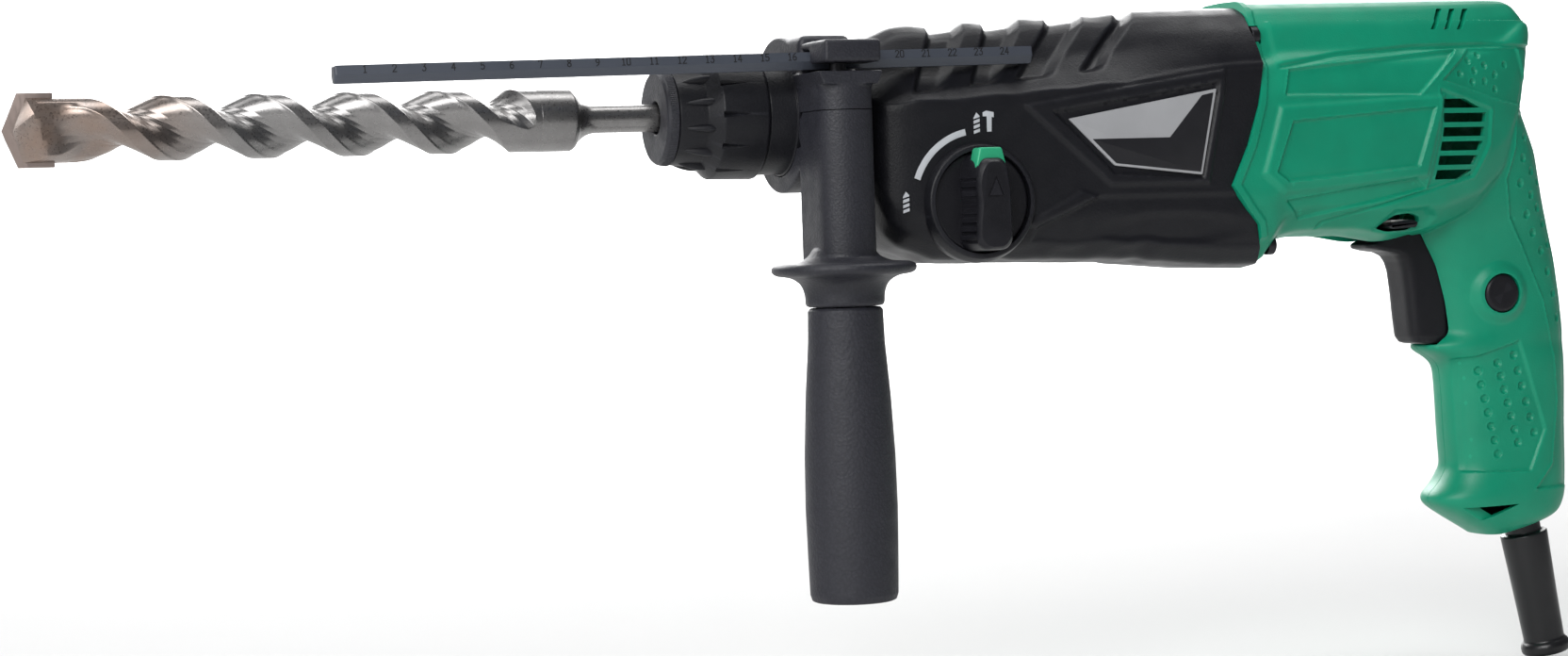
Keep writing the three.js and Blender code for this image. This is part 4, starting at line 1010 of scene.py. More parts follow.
def finger_ribs(x, z, dome):
    """Slanting grooves on the upper flanks: a steep drop, a floor and a gentle slope back up."""
    grooves = np.zeros(x.shape)
    for drop, slope in RIB_GROOVES:
        start, stop = line_at(z, drop), line_at(z, slope)
        groove = smooth((x - start) / 2.2 + 0.4) * np.clip((stop - x) / 4.8, 0, 1)
        grooves = np.maximum(grooves, groove)
    ledge = np.interp(x, [p[0] for p in RIB_LEDGE], [p[1] for p in RIB_LEDGE])
    window = np.clip((z - ledge) / 2.6, 0, 1) * smooth((x - 78.0) / 3.0) * smooth((184.0 - x) / 3.0)
    return -RIB_DEPTH * grooves * window * dome


def line_at(z, ends):
    """The x at which a slanting line through two (x, z) points reaches each z."""
    (x0, z0), (x1, z1) = ends
    return x0 + (x1 - x0) * (z - z0) / (z1 - z0)


def case_height(co, normal):
    x, z = co[:, 0], co[:, 2]
    faces_side = smooth((np.abs(normal[:, 1]) - 0.75) / 0.2)
    break_line = np.interp(x, [77.2, 146.6, 209.0, 222.0], [1.6, 5.4, 12.1, 12.6])
    dome = smooth((z - break_line) / 3.0)
    h = side_wave(x, z, faces_side) + finger_ribs(x, z, dome)
    # A fold runs along the line between the ribbed flank and the flat side.
    h += 0.55 * smooth(1 - np.abs(z - break_line - 1.2) / 2.2) * (x > 74) * faces_side
    # Shallow waves under the belly.
    wave = 0.5 * np.cos((x - 132.0) / 23.0 * 2 * math.pi)
    h += wave * smooth((-z - 48.0) / 5.0) * smooth((x - 104.0) / 8.0) * smooth((186.0 - x) / 10.0)
    return h


def seam_block(shift, rearward):
    far = 420.0 if rearward else 0.0
    outline = [(x + shift, z) for x, z in SEAM] + [(far, -250.0), (far, 45.0)]
    return prism(outline, -60, 60, "y")


def case_body():
    places = np.arange(70.0, 228.0, 0.55)
    top, bottom, side = stations_at(CASE_STATIONS, places, 1.6)
    break_z = bottom + (top - bottom) * (0.65 + 0.0006 * (places - 80))
    widen = np.clip((places - 168) / (205 - 168), 0, 1)
    y, z = [], []
    for (fy, fz), shoulder in zip(CASE_DOME, CASE_SHOULDER):
        y.append((fy + (shoulder - fy) * widen) * side)
        z.append(break_z + fz * (top - break_z))
    for fy, fz in CASE_KEEL:
        y.append(fy * side)
        z.append(bottom + fz * (break_z - bottom))
    body = grid_solid(soft_rings(np.stack(y, 1), np.stack(z, 1), places, 400, 1.5))
    return relief(body, case_height)


def case_pieces():
    body = case_body()
    nose = lathe(
        [[36.1, 0], [36.1, NOSE_R], [46, NOSE_R], [46, SEAT_R], [74, SEAT_R], [74, 0]],
        "x",
        sides=160,
        radius=0.7,
    )
    boss = lathe([[-38, 0], [-38, 19.9], [-34, 21.4], [-30, 21.6], [-30, 0]], "y", KNOB_AT, 144, 0.8)
    body = union(body, nose, boss)
    profile = [[-41, 0], [-41, 18.6], [-37.2, 18.2], [-34.2, 18.2], [-34.2, 0]]
    recess = lathe(profile, "y", KNOB_AT, 144, 0.2)
    pivot = rod(-36, -26, 4.4, "y", KNOB_AT, 32)
    bore = rod(30, 75, 12.9, "x", sides=96)
    inside = rod(38.6, 78, 17.5, "x", sides=96)
    hollow = [(76, 20, -42, 29), (100, 27, -50, 31.6), (170, 30, -52, 31.6), (232, 32, -55, 31.6)]
    places = np.linspace(76, 232, 40)
    top, bottom, side = stations_at(hollow, places, 3.0)
    y = np.stack([0 * side, side * 0.36, side * 0.6, side, side, side * 0.6, 0 * side], 1)
    middle = (top + bottom) / 2
    z = np.stack([top - 1.5, top * 0.86, middle + 10, middle, bottom + 12, bottom + 1, bottom], 1)
    cavity = grid_solid(soft_rings(y, z, places, 64, 2.0))
    body = cut(body, recess, pivot, bore, inside, cavity)
    body = common(body, seam_block(-GAP / 2, False))
    piece(body, "gear_case_shell", BLACK, "frame", ["gear_case"], 40)


def nameplate_pieces():
    low, high = box_mm("nameplate")
    face = low[1]
    outline = [(142.9, -4.5), (201.9, 5.3), (195.3, -25.6), (160.5, -21.5)]
    plate = prism(outline, high[1] + 0.6, face + 0.15, "y", 0.2, 0.6)
    piece(plate, "nameplate_base", PLATE_SILVER, "frame", ["nameplate"], 30)
    dark = [(151.9, -11.9), (182.6, -11.9), (195.9, 3.0), (200.5, 3.9), (194.6, -24.6), (161.0, -20.7)]
    field = prism(dark, face + 0.3, face + 0.02, "y", 0.08, 0.3)
    piece(field, "nameplate_field", PLATE_DARK, "frame", (), 30)


HAMMER_ICON = [(111.4, -1.0), (114.2, -1.6), (114.2, -3.4), (113.4, -3.2), (113.2, -8.4)]
HAMMER_ICON += [(111.5, -8.4), (111.5, -3.0), (110.0, -3.0), (110.0, -1.6)]


def printed_marks():
    """The knob's scale: an arc, a drill with a hammer, and a drill alone."""
    y0, y1 = -CASE_SIDE + 0.3, -CASE_SIDE - 0.12
    cx, cz = KNOB_AT[0], KNOB_AT[2]
    steps = 24
    arc = []
    for radius, order in ((26.2, range(steps + 1)), (23.9, range(steps, -1, -1))):
        for k in order:
            a = math.radians(160 - (160 - 101) * k / steps)
            arc.append((cx + radius * math.cos(a), cz + radius * math.sin(a)))
    shapes = [arc]
    shapes += drill_icon(107.6, -5.2) + drill_icon(80.0, -32.3)
    shapes.append(HAMMER_ICON)
    marks = combined([prism(shape, y0, y1, "y", 0.03) for shape in shapes])
    piece(marks, "knob_scale_print", MARK_WHITE, "frame")


def drill_icon(x, z):
    """A drill's point over three turns of its flute."""
    half, step = 1.15, 1.75
    left, right = x - half, x + half
    shapes = [[(left, z + 1.7), (x, z + 3.6), (right, z + 2.4), (right, z + 2.0), (left, z + 1.3)]]
    for k in range(3):
        top = z + 0.7 - step * k
        shapes.append([(left, top), (right, top + 0.75), (right, top - 0.35), (left, top - 1.1)])
    return shapes


# ---- the controls -----------------------------------------------------------------------


def knob_pieces():
    outer = box_mm("mode_knob")[0][1]
    face = -36.4
    profile = [[-34.5, 0], [-34.5, 17.8], [face + 0.4, 17.8], [face, 17.2], [face, 0]]
    disc = lathe(profile, "y", KNOB_AT, 144, 0.4)
    post = rod(-34.6, -27.5, 4, "y", KNOB_AT, 32)
    crank = block((106, -30, -42), (110, -27.5, -33))
    # The grip bar narrows towards its face and is waisted near its middle.
    places = np.linspace(0, 1, 14)
    rings = []
    for t in places:
        y = face + 0.5 + (outer - face - 0.5) * t
        edge = 1.0 * smooth(np.array((t - 0.88) / 0.12))
        half = 8.7 - 2.1 * t - edge
        z0, z1 = -17.4 + 0.6 * t + edge, 16.8 - 2.0 * t - edge
        left = [(-half, z0 + 3), (-half + 0.2, z0 + 9), (-half + 1.0, -1.5), (-half + 0.3, 6.5)]
        left.append((-half + 1.2, z1 - 3.2))
        top = [(-half + 3.4, z1), (half - 3.4, z1)]
        right = [(half - 1.2, z1 - 3.2), (half - 0.3, 4), (half, z0 + 3)]
        bottom = [(half - 2.6, z0), (-half + 2.6, z0)]
        flat = round_corners(left + top + right + bottom, 2.2, 4, closed=True)
        rings.append([(KNOB_AT[0] + x, y, KNOB_AT[2] + z) for x, z in flat])
    bar = grid_solid(rings)
    ribs = []
    for k in range(8):
        z = KNOB_AT[2] - 14.0 + 3.1 * k
        for side in (-1, 1):
            rings = []
            for y, floor in ((face - 0.5, 7.6), (outer + 2.0, 5.9)):
                near, far = KNOB_AT[0] + side * floor, KNOB_AT[0] + side * (floor + 4)
                flat = [(near, z - 0.45), (far, z - 1.5), (far, z + 1.5), (near, z + 0.45)]
                rings.append([(a, y, b) for a, b in flat])
            ribs.append(grid_solid(rings))
    bar = cut(bar, combined(ribs))
    pocket_low = (KNOB_AT[0] - 5.4, outer + 2.2, KNOB_AT[2] + 10.6)
    pocket = block(pocket_low, (KNOB_AT[0] + 5.4, outer + 10, KNOB_AT[2] + 30))
    tri = [(-2.9, 1.6), (0.4, 8.9), (3.3, 1.6)]
    inner = [(-2.2, 2.1), (0.4, 7.9), (2.6, 2.1)]
    at = lambda shape: [(KNOB_AT[0] + x, KNOB_AT[2] + z) for x, z in shape]
    mark = cut(prism(at(tri), outer - 1, outer + 0.35, "y"), prism(at(inner), outer - 2, outer + 1, "y"))
    knob = cut(union(disc, bar, post, crank), pocket, mark)
    piece(knob, "mode_knob_body", CONTROL, "mode_knob", ["mode_knob"], 35)

    low, high = box_mm("knob_button")
    top = high[2] - 0.5
    outline = [(low[0] - 1.2, low[2]), (high[0] + 1.2, low[2]), (high[0] - 0.7, top), (low[0] + 0.7, top)]
    button = prism(outline, low[1] + 0.3, high[1], "y", 0.7, 1.0)
    piece(button, "knob_release_button", BUTTON_GREEN, "knob_button", ["knob_button"], 40)


# The trigger from its top lip down, as (z, front x).
TRIGGER_FRONT = [
    (-49.2, 288.0), (-51.0, 284.0), (-52.6, 280.2), (-53.4, 279.0), (-54.8, 279.2), (-55.8, 283.0),
    (-56.6, 288.5), (-58.0, 291.6), (-60.5, 293.4), (-64.0, 294.5), (-72.0, 295.5), (-82.0, 296.4),
    (-89.0, 297.2), (-91.3, 298.6), (-92.0, 301.0),
]


def trigger_pieces():
    rings = []
    back = 314.0
    for z, front in TRIGGER_FRONT:
        half = 8.9 - 0.9 * max(0.0, (-88.5 - z) / 3.5)
        reach = min(4.5, (back - front) / 3)
        outline = [(front, -half), (back, -half), (back, half), (front, half)]
        rings.append([(x, y, z) for x, y in round_corners(outline, reach, 6, closed=True)])
    body = remeshed(grid_solid(rings), 0.45, 3)
    piece(body, "trigger_body", CONTROL, "trigger", ["trigger"], 50)

    low, high = box_mm("lock_button")
    r = (high[2] - low[2]) / 2
    back, front = high[1], low[1]
    profile = [[back, 0], [back, r], [front + 0.9, r], [front + 0.1, r - 0.9]]
    profile += [[front, r - 2.5], [front, 0]]
    button = lathe(profile, "y", centre_line(low, high, "y"), 96, 0.6)
    piece(button, "lock_on_button", CONTROL, "lock_button", ["lock_button"], 50)

    low, high = box_mm("reversing_lever")
    outline = [(276.9, -46.8), (279.9, -44.9), (287.0, -44.3)]
    outline += [(289.6, -45.4), (288.8, -47.3), (279.4, -47.7)]
    lever = prism(outline, low[1], high[1], "y", 0.9, 0.8)
    # Its core inside the housing is as wide as the slot, so nothing shows through.
    core = prism([(271.5, -49.4), (271.5, -41.7), (292.4, -41.7), (292.4, -49.4)], -9, 9, "y", 0.4, 0.8)
    lever = union(lever, core)
    name = "reversing_lever"
    piece(lever, "reversing_lever_bar", CONTROL, name, [name], 50)


GUARD_TOP = (347.4, 0.0, -160.5)
GUARD_TILT = 0.19
GUARD_LENGTH = 55.0


def guard_piece():
    end = -GUARD_LENGTH
    loop = [
        (10.0, 4.3), (10.0, 8.6), (7.0, 8.6), (7.0, 6.9), (-6.6, 6.9), (-7.0, 9.1), (-30.0, 8.3),
        (end + 5.4, 7.8), (end + 4.4, 8.9), (end + 3.2, 9.4), (end + 1.0, 9.4), (end, 8.6),
        (end, 4.3),
    ]
    sleeve = ring_body(loop, "z", sides=96, radius=0.7)
    moved(sleeve, Matrix.Rotation(-GUARD_TILT, 4, "Y"))
    moved(sleeve, Matrix.Translation(GUARD_TOP))
    piece(sleeve, "cord_guard_sleeve", GUARD_RUBBER, "frame", ["cord_guard"], 40)


# ---- the housing ------------------------------------------------------------------------

BARREL_SECTION = [
    (0, 1), (0.36, 0.997), (0.56, 0.965), (0.7, 0.89), (0.79, 0.78), (0.9, 0.74), (0.97, 0.64),
    (1, 0.48), (1, 0.27), (0.92, 0.12), (0.68, 0.03), (0.36, 0), (0, 0),
]
# x, top, bottom, half width
BARREL_STATIONS = [
    (204, 37.8, -60.4, 36.2), (226, 37.8, -60.4, 36.2), (229, 37.8, -52, 36),
    (240, 37.8, -49.4, 35.8), (264, 38, -49.6, 35.6), (280, 38.2, -52.6, 34.6),
    (300, 38.4, -50, 33), (318, 38.5, -44, 29), (331, 38.6, -34, 24.6), (341, 38.4, -8, 20),
    (345, 35.5, 12, 16), (348.6, 31, 23, 12),
]
# z, front x, back x, half width
GRIP_STATIONS = [
    (18, 320, 340.5, 16), (13.3, 312, 340.8, 19), (2.3, 303, 343.2, 22), (-5, 298, 346.2, 23.2),
    (-20, 295, 352.6, 22.8), (-40, 295, 356.6, 20.8), (-51, 299, 359.4, 18.8),
    (-62, 304.5, 362, 17.6), (-76, 308, 364, 17), (-90, 309.8, 365.2, 17),
    (-91.8, 301.5, 365.2, 17), (-94.4, 302.0, 365.2, 17), (-97.5, 310.0, 365.4, 17),
    (-100.5, 312.6, 365.4, 17), (-109, 313.3, 365.4, 16.8), (-127, 314, 364.8, 16.8),
    (-140, 315, 364.6, 17), (-147, 310.6, 364.5, 17.3), (-151, 305.2, 364.2, 17.5),
    (-154, 306.4, 363.6, 17.4), (-160, 316, 360.4, 16.4), (-164, 323, 348, 13.5),
    (-166.6, 327, 336, 9),
]
UPPER_PANEL = [(233.2, 11.9), (307.7, 18.8), (288.0, 1.9), (230.4, 2.7)]
BADGE_PANEL = [(232.4, -7.1), (294.0, -2.9), (285.5, -24.8), (229.9, -28.8), (225.2, -25.4)]
BADGE_RIM = [(228.0, -1.6), (298.8, 1.4), (289.5, -28.6), (228.8, -33.4), (220.0, -26.0)]
LOWER_PANEL = [(230.3, -36.0), (284.6, -29.0), (289.3, -32.9), (237.0, -43.0)]
LOWER_LINE = [(311.3, -28.7), (248.1, -44.1), (246.0, -49.0)]
DIMPLE_TRIANGLE = [(298.6, 7.2), (314.0, 19.1), (338.0, 19.4), (346.0, -3.5), (324.0, 0.0)]
VENT_FRAME = [(297.0, 4.2), (322.0, -3.6), (320.4, -17.0), (312.6, -29.0), (289.6, -33.4)]
VENT_FRAME.append((296.2, -12.0))
STRIP_EDGE = [(337.8, -5.5), (335.9, -18.4), (331.7, -30.2), (333.6, -44.6), (339.7, -55.2)]
STRIP_EDGE += [(350.3, -76.9), (355.3, -98.5), (356.4, -116.0), (352.5, -140.0), (344.0, -149.0)]
GRIP_PANEL = [(290.0, -100.5), (301.9, -99.3), (320.1, -97.5), (338.2, -92.2), (349.3, -126.4)]
GRIP_PANEL += [(341.7, -142.0), (304.3, -141.0), (290.0, -140.0)]
LEVER_SCOOP = [(272.4, -48.0), (277.0, -41.2), (291.5, -40.6), (296.0, -43.8), (292.0, -49.6)]
LOCK_AT = (330.2, -73.6)
# The rounded mouth in the housing's lower edge that shows the trigger's top.
TRIGGER_MOUTH = [(277.5, -54.4), (291.0, -49.9), (296.5, -50.0), (301.0, -53.2), (303.4, -58.4)]
TRIGGER_MOUTH += [(304.0, -63.0), (284.0, -63.0)]
# Dimples along the strip behind the vents, down the back of the grip.
STRIP_DIMPLES = [(342.5, -14.5), (340.5, -22.5), (345.5, -27.5), (339.0, -32.0), (345.0, -36.5)]
STRIP_DIMPLES += [(350.5, -31.5), (342.5, -44.0), (349.0, -41.5), (346.0, -51.0), (352.5, -47.5)]
STRIP_DIMPLES += [(350.5, -58.0), (355.5, -55.5), (354.0, -66.0), (357.0, -74.5), (359.0, -84.0)]
TRIANGLE_DIMPLES = [(312.5, 14.6), (317.6, 16.8), (307.8, 9.6), (315.0, 10.8), (320.4, 12.8)]
TRIANGLE_DIMPLES += [(313.4, 6.4), (319.6, 6.6), (325.4, 9.2), (325.0, 3.6), (331.0, 13.0)]


def grip_dimples():
    """Three columns of dimples that lean back as they go down."""
    spots = []
    for top_x, top_z, bottom_x, bottom_z, count in (
        (321.5, -103.0, 328.4, -135.0, 7), (329.0, -100.2, 337.0, -131.0, 7),
        (336.0, -97.4, 344.5, -127.5, 6),
    ):
        for k in range(count):
            t = k / (count - 1)
            spots.append((top_x + (bottom_x - top_x) * t, top_z + (bottom_z - top_z) * t))
    return spots


def housing_height(co, normal):
    x, z = co[:, 0], co[:, 2]
    side = smooth((np.abs(normal[:, 1]) - 0.35) / 0.25)
    h = np.zeros(len(x))
    # A rim follows the seam with the gear case.
    from_seam = distance_to_line(x, z, SEAM)
    rim = smooth((normal[:, 2] + 0.75) / 0.3)
    h += 0.8 * smooth((3.4 - from_seam) / 0.9) * rim
    # The strip down the back is sunk behind its edge line.
    strip = STRIP_EDGE + [(372.0, -149.0), (372.0, -5.5)]
    closed = lambda outline: outline + outline[:1]
    for form, points, first, second in (
        (panel, UPPER_PANEL, -1.0, 0.9),
        (ridge, closed(UPPER_PANEL), 0.3, 1.1),
        (panel, BADGE_RIM, 1.1, 2.8),
        (panel, BADGE_PANEL, -1.2, 0.9),
        (ridge, closed(BADGE_PANEL), 0.25, 1.0),
        (panel, LOWER_PANEL, -1.0, 0.9),
        (ridge, LOWER_LINE, -0.7, 0.9),
        (panel, DIMPLE_TRIANGLE, -0.8, 0.9),
        (ridge, closed(DIMPLE_TRIANGLE), 0.25, 1.0),
        (dimples, TRIANGLE_DIMPLES, 1.3, 0.75),
        (panel, VENT_FRAME, -0.5, 1.4),
        (ridge, closed(VENT_FRAME), 0.35, 1.3),
        (panel, strip, -0.9, 0.9),
        (ridge, STRIP_EDGE, 0.35, 1.3),
        (dimples, STRIP_DIMPLES, 1.5, 0.85),
        (panel, GRIP_PANEL, -1.0, 0.9),
        (dimples, grip_dimples(), 1.5, 0.85),
        (panel, LEVER_SCOOP, -1.6, 3.6),
    ):
        # Height and width for a panel or a ridge, radius and depth for dimples.
        h += form(x, z, points, first, second) * side
    lock = np.hypot(x - LOCK_AT[0], z - LOCK_AT[1])
    h += 2.0 * smooth((12.6 - lock) / 4.6) * side
    # The spine stands over the side along a rising edge.
    edge = np.interp(x, [228.0, 254.0, 288.6, 321.6, 345.0], [13.6, 17.6, 20.6, 21.2, 20.4])
    spine = smooth((z - edge) / 1.1 + 0.5) * smooth((x - 228.0) / 3.0) * (z < 30) * side
    h += 0.5 * spine
    h += -0.6 * smooth(1 - np.abs(z - edge + 1.0) / 1.4) * smooth((x - 228.0) / 3.0) * side
    return h


def dense_barrel(table, shrink=0.0, step=0.9, around=260):
    places = np.arange(table[0][0], table[-1][0] + 0.01, step)
    top, bottom, side = stations_at(table, places, 2.2)
    top, bottom, side = top - shrink, bottom + shrink, side - shrink
    y = np.stack([fy * side for fy, fz in BARREL_SECTION], 1)
    z = np.stack([bottom + fz * (top - bottom) for fy, fz in BARREL_SECTION], 1)
    return grid_solid(soft_rings(y, z, places, around, 1.3))


def dense_grip(table, shrink=0.0, step=0.9, around=200):
    low, high = table[-1][0], table[0][0]
    places = np.arange(low + shrink, high + 0.01, step)
    front, back, half = stations_at(table, places, 1.8)
    front, back, half = front + shrink, back - shrink, half - shrink
    angle = np.linspace(0, 2 * np.pi, around, endpoint=False)[None, :]
    c, s = np.cos(angle), np.sin(angle)
    square = 0.78
    x = ((front + back) / 2)[:, None] + ((back - front) / 2)[:, None] * np.sign(c) * np.abs(c) ** square
    y = half[:, None] * np.sign(s) * np.abs(s) ** square
    z = np.repeat(places[:, None], around, 1)
    return grid_solid(np.stack([x, y, z], -1))


HOUSING_SCREWS = [f"housing_screw_{number}" for number in range(1, 5)]
CASE_SCREWS = [f"case_screw_{number}" for number in range(1, 5)]


LOCK_HOLE_R, GUARD_HOLE_R = 7.55, 7.3
HOUSING_SCREW_HOLE_R, CASE_SCREW_HOLE_R = 3.7, 3.9
# How far the two upper case screws reach, so that their heads sit in the rim.
UPPER_CASE_SCREWS, UPPER_SCREW_END = ("case_screw_1", "case_screw_3"), 225.2


def housing_pieces():
    outer = union(dense_barrel(BARREL_STATIONS), dense_grip(GRIP_STATIONS))
    outer = remeshed(outer, 0.5, 12)
    relief(outer, housing_height)
    thickness = 3.0
    cavity = union(
        dense_barrel(BARREL_STATIONS[:-2], thickness, 2.5, 90),
        dense_grip(GRIP_STATIONS, thickness, 2.5, 72),
    )
    outer = cut(outer, cavity)
    tools = [block((262, -9.4, -92.5), (318, 9.4, -48.6), 0.6), lever_slot()]
    tools.append(prism(TRIGGER_MOUTH, -21, 21, "y", 0, 2.5))
    tools.append(rod(-30, -8, LOCK_HOLE_R, "y", (LOCK_AT[0], 0, LOCK_AT[1]), 72))
    guard = rod(-16, 14, GUARD_HOLE_R, "z", sides=48)
    moved(guard, Matrix.Rotation(-GUARD_TILT, 4, "Y"))
    tools.append(moved(guard, Matrix.Translation(GUARD_TOP)))
    for side in (-1, 1):
        tools.append(combined(vent_slots(side)))
        tools.append(combined(top_slots(side)))
        tools.append(foot_pocket(side))
    for node in HOUSING_SCREWS:
        centre = centre_line(*box_mm(node), "y")
        tools.append(rod(11, 50, HOUSING_SCREW_HOLE_R, "y", centre, 32))
    for node in CASE_SCREWS:
        centre = centre_line(*box_mm(node), "x")
        end = 225.4 if centre[2] > 0 else 230.6
        tools.append(rod(215, end, CASE_SCREW_HOLE_R, "x", centre, 32))
    outer = cut(outer, *tools)
    outer = common(outer, seam_block(GAP / 2, True))
    left = common(copy_of(outer), block((150, -60, -200), (420, -GAP / 2, 60)))
    right = common(outer, block((150, GAP / 2, -200), (420, 60, 60)))
    piece(left, "housing_left_shell", GREEN, "frame", ["housing_left"], 38)
    piece(right, "housing_right_shell", GREEN, "frame", ["housing_right"], 38)


def lever_slot():
    """The slot through both shells that the reversing lever moves in."""
    outline = [(272.4, -47.3), (278.4, -42.5), (285.4, -41.9), (290.4, -43.4)]
    outline += [(291.6, -46.2), (286.4, -48.3), (277.2, -48.7)]
    return prism(outline, -50, 50, "y", 0, 1.4)


def vent_slots(side):
    """Six cooling slots whose ends follow the vent's slanting frame."""
    fronts = [-31.0, -11.2, 2.5], [293.2, 297.8, 298.3]
    rears = [-31.0, -27.5, -15.1, -4.8, 2.5], [303.0, 311.0, 317.4, 319.2, 303.0]
    front = lambda level: np.interp(level, *fronts)
    rear = lambda level: np.interp(level, *rears)
    slots = []
    for i in range(6):
        z = -1.6 - 5.3 * i
        top, bottom = z + 1.75, z - 1.75
        outline = [(front(top), top), (rear(top), top), (rear(bottom), bottom), (front(bottom), bottom)]
        slots.append(prism(outline, side * 14, side * 45, "y", 0, 0.5))
    return slots


def top_slots(side):
    """Three slanting slots in the spine's flank."""
    slots = []
    for i in range(3):
        x = 300.6 + 6.1 * i
        outline = [(x - 2.3, 26.4), (x + 0.1, 26.4), (x + 6.6, 34.6), (x + 4.0, 34.6)]
        slots.append(prism(outline, side * 12, side * 40, "y", 0, 0.5))
    return slots


def foot_pocket(side):
    """The three-cornered recess in the grip's foot."""
    outline = [(312.8, -155.1), (336.4, -154.4), (320.8, -160.9)]
    return prism(outline, side * 12.5, side * 40, "y", 0, 0.6)


# ---- fasteners and inner pieces ---------------------------------------------------------


def screw(node, axis):
    """A pan-head screw with a six-pointed socket, along the CAD screw's axis."""
    low, high = box_mm(node)
    k = "xyz".index(axis)
    centre = centre_line(low, high, axis)
    start, end = low[k], high[k]
    if node in UPPER_CASE_SCREWS:
        end = UPPER_SCREW_END
    head_r = max(high[(k + 1) % 3] - low[(k + 1) % 3], 0.1) / 2
    shank_r = head_r * 0.5
    neck = end - head_r
    profile = [[start, 0], [start, shank_r], [neck, shank_r], [neck, head_r]]
    profile += [[end - 0.7, head_r], [end, head_r - 0.9], [end, 0]]
    body = lathe(profile, axis, centre, 48, 0.35)
    star = []
    for i in range(12):
        a = i / 12 * 2 * math.pi
        r = head_r * (0.52 if i % 2 == 0 else 0.36)
        star.append((r * math.cos(a), r * math.sin(a)))
    across = centre[0 if axis == "y" else 1]
    flat = [(across + a, centre[2] + b) for a, b in star]
    socket = prism(flat, end - 1.5, end + 1, axis, 0, 0.3)
    piece(cut(body, socket), node + "_fastener", DARK_STEEL, "frame", [node], 35)


FINISHES = {
    "black_plastic": BLACK,
    "bright_steel": STEEL,
    "dark_steel": DARK_STEEL,
    "cast_aluminium": ALUMINIUM,
    "copper_winding": COPPER,
    "fan_plastic": FAN,
    "carbon": CARBON,
    "black_rubber": GRIP_RUBBER,
    "green_plastic": GREEN,
    "carbide": CARBIDE,
    "name_plate": PLATE_SILVER,
    "bright_green": BUTTON_GREEN,
}


def finish_cad_nodes():
    """Gives every CAD node its slot's finish; most sit inside the housing."""
    slots = {part["node"]: part["material_slot"] for part in frame["record"]["subparts"]}
    for name, obj in frame["nodes"].items():
        material = LAMINATE if name == "stator_core" else FINISHES[slots[name]]
        obj.data.materials.clear()
        obj.data.materials.append(material)


# ---- camera, light and floor ------------------------------------------------------------

CAMERA_AT = Vector((-0.3411, -1.0675, -0.0402))
AZIMUTH, ELEVATION, ROLL = math.radians(-19.924), math.radians(1.776), math.radians(1.888)
LENS, SENSOR = 73.33, 36.0


def view_axes():
    """The camera's right, up and backward directions."""
    back = Vector(
        (
            math.sin(AZIMUTH) * math.cos(ELEVATION),
            -math.cos(AZIMUTH) * math.cos(ELEVATION),
            math.sin(ELEVATION),
        )
    )
    right = (-back).cross(Vector((0, 0, 1))).normalized()
    up = right.cross(-back)
    c, s = math.cos(ROLL), math.sin(ROLL)
    return c * right - s * up, s * right + c * up, back


def add_camera():
    data = bpy.data.cameras.new("camera")
    data.lens, data.sensor_width = LENS, SENSOR
    data.clip_start, data.clip_end = 0.05, 30
    camera = bpy.data.objects.new("camera", data)
    right, up, back = view_axes()
    turn = Matrix((right, up, back)).transposed().to_4x4()
    camera.matrix_world = Matrix.Translation(CAMERA_AT) @ turn
    bpy.context.scene.collection.objects.link(camera)
    bpy.context.scene.camera = camera


def add_light(name, place, target, size, power):
    data = bpy.data.lights.new(name, "AREA")
    data.shape = "RECTANGLE"
    data.size, data.size_y = size
    data.energy = power
    light = bpy.data.objects.new(name, data)
    light.visible_camera = False
    direction = Vector(place) - Vector(target)
    turn = direction.to_track_quat("Z", "Y").to_matrix().to_4x4()
    light.matrix_world = Matrix.Translation(place) @ turn
    bpy.context.scene.collection.objects.link(light)


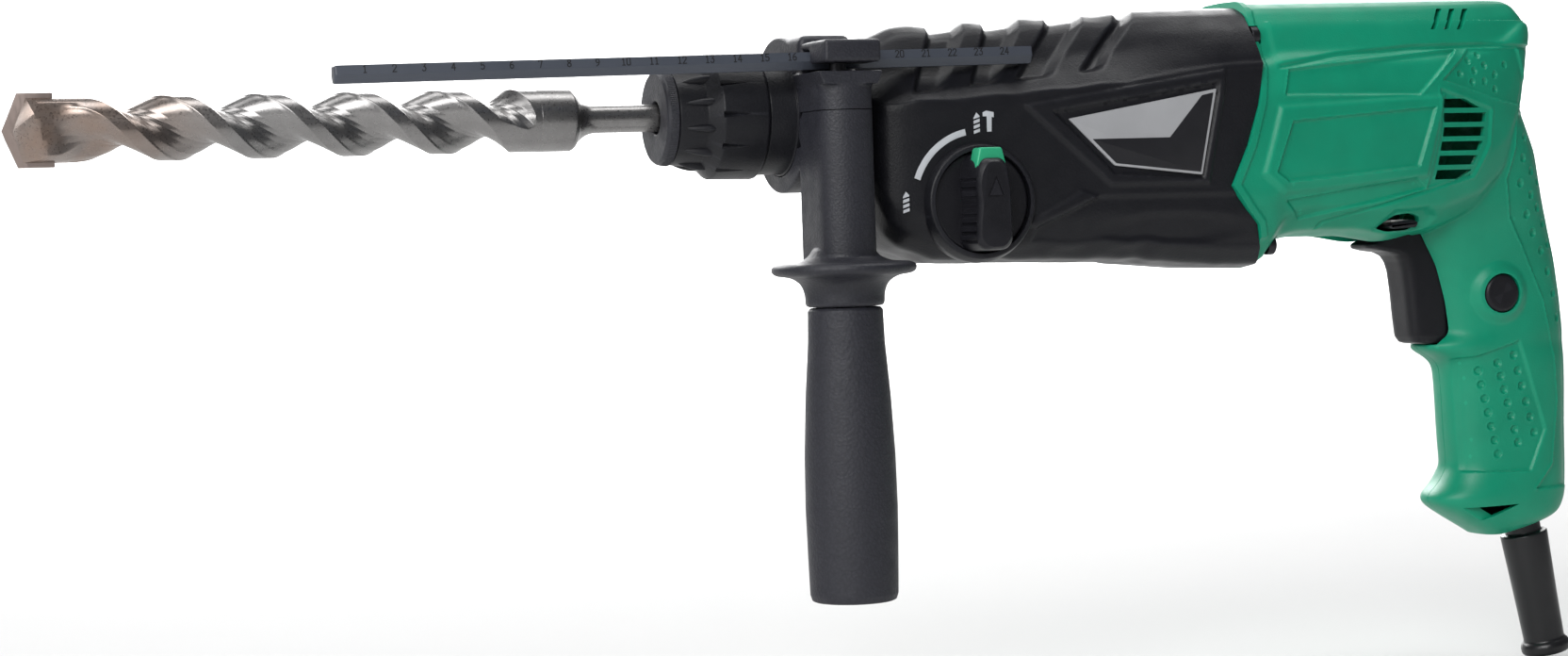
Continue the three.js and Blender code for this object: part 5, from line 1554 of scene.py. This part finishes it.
def add_stage():
    low, high = CAD_BOX
    level = low[2] - 0.001
    half, rise, radius, steps = 7.5, 5.0, 2.4, 20
    back = high[1] + 7.2
    profile = [(-half, level), (back - radius, level)]
    for k in range(1, steps + 1):
        a = k / steps * math.pi / 2
        profile.append((back - radius + radius * math.sin(a), level + radius * (1 - math.cos(a))))
    profile.append((back, level + rise))
    verts, faces = [], []
    for y, z in profile:
        verts += [(-half * 1.5, y, z), (half * 1.5, y, z)]
    for k in range(len(profile) - 1):
        faces.append((2 * k, 2 * k + 1, 2 * k + 3, 2 * k + 2))
    floor = solid(verts, faces)
    floor.name = "studio_floor"
    floor.data.polygons.foreach_set("use_smooth", [True] * len(floor.data.polygons))
    s = Shader("studio_paper", (0.56, 0.56, 0.56), 0.9)
    s.color(s.mixed(s.noise(3.0), (0.55, 0.55, 0.55), (0.57, 0.57, 0.565)))
    floor.data.materials.append(s.material)


def add_world():
    world = bpy.data.worlds.new("studio")
    world.use_nodes = True
    world.node_tree.nodes["Background"].inputs[0].default_value = (0.93, 0.95, 1.0, 1)
    world.node_tree.nodes["Background"].inputs[1].default_value = 0.14
    bpy.context.scene.world = world


def light_up():
    # Name, place, target, size in metres and watts.
    middle = (0.1, 0, -0.04)
    add_light("key_box", (-1.0, -1.45, 0.95), middle, (1.1, 1.1), 27)
    add_light("top_box", (0.2, 0.1, 1.3), (0.2, 0, 0), (1.8, 0.5), 11)
    add_light("left_strip", (-1.25, -0.6, 0.5), (0.05, 0, 0), (0.5, 1.0), 4)
    add_light("rear_fill", (0.9, 1.5, 1.0), middle, (1.0, 1.0), 12)
    add_light("floor_wash", (0.6, 2.9, 1.3), (0.6, 2.5, -0.2), (5.0, 1.0), 75)
    add_light("far_wash", (1.6, 4.9, 1.8), (1.8, 4.7, -0.2), (7.0, 1.6), 240)
    add_light("back_wash", (2.4, 4.7, 2.2), (2.7, 7.2, 0.4), (7.0, 1.4), 300)


add_camera()
add_world()
light_up()
add_stage()
finish_cad_nodes()
bit_pieces()
chuck_pieces()
handle_pieces()
gauge_pieces()
case_pieces()
nameplate_pieces()
printed_marks()
knob_pieces()
trigger_pieces()
guard_piece()
housing_pieces()
for name in HOUSING_SCREWS:
    screw(name, "y")
for name in CASE_SCREWS:
    screw(name, "x")

bpy.context.scene.view_settings.view_transform = "Standard"
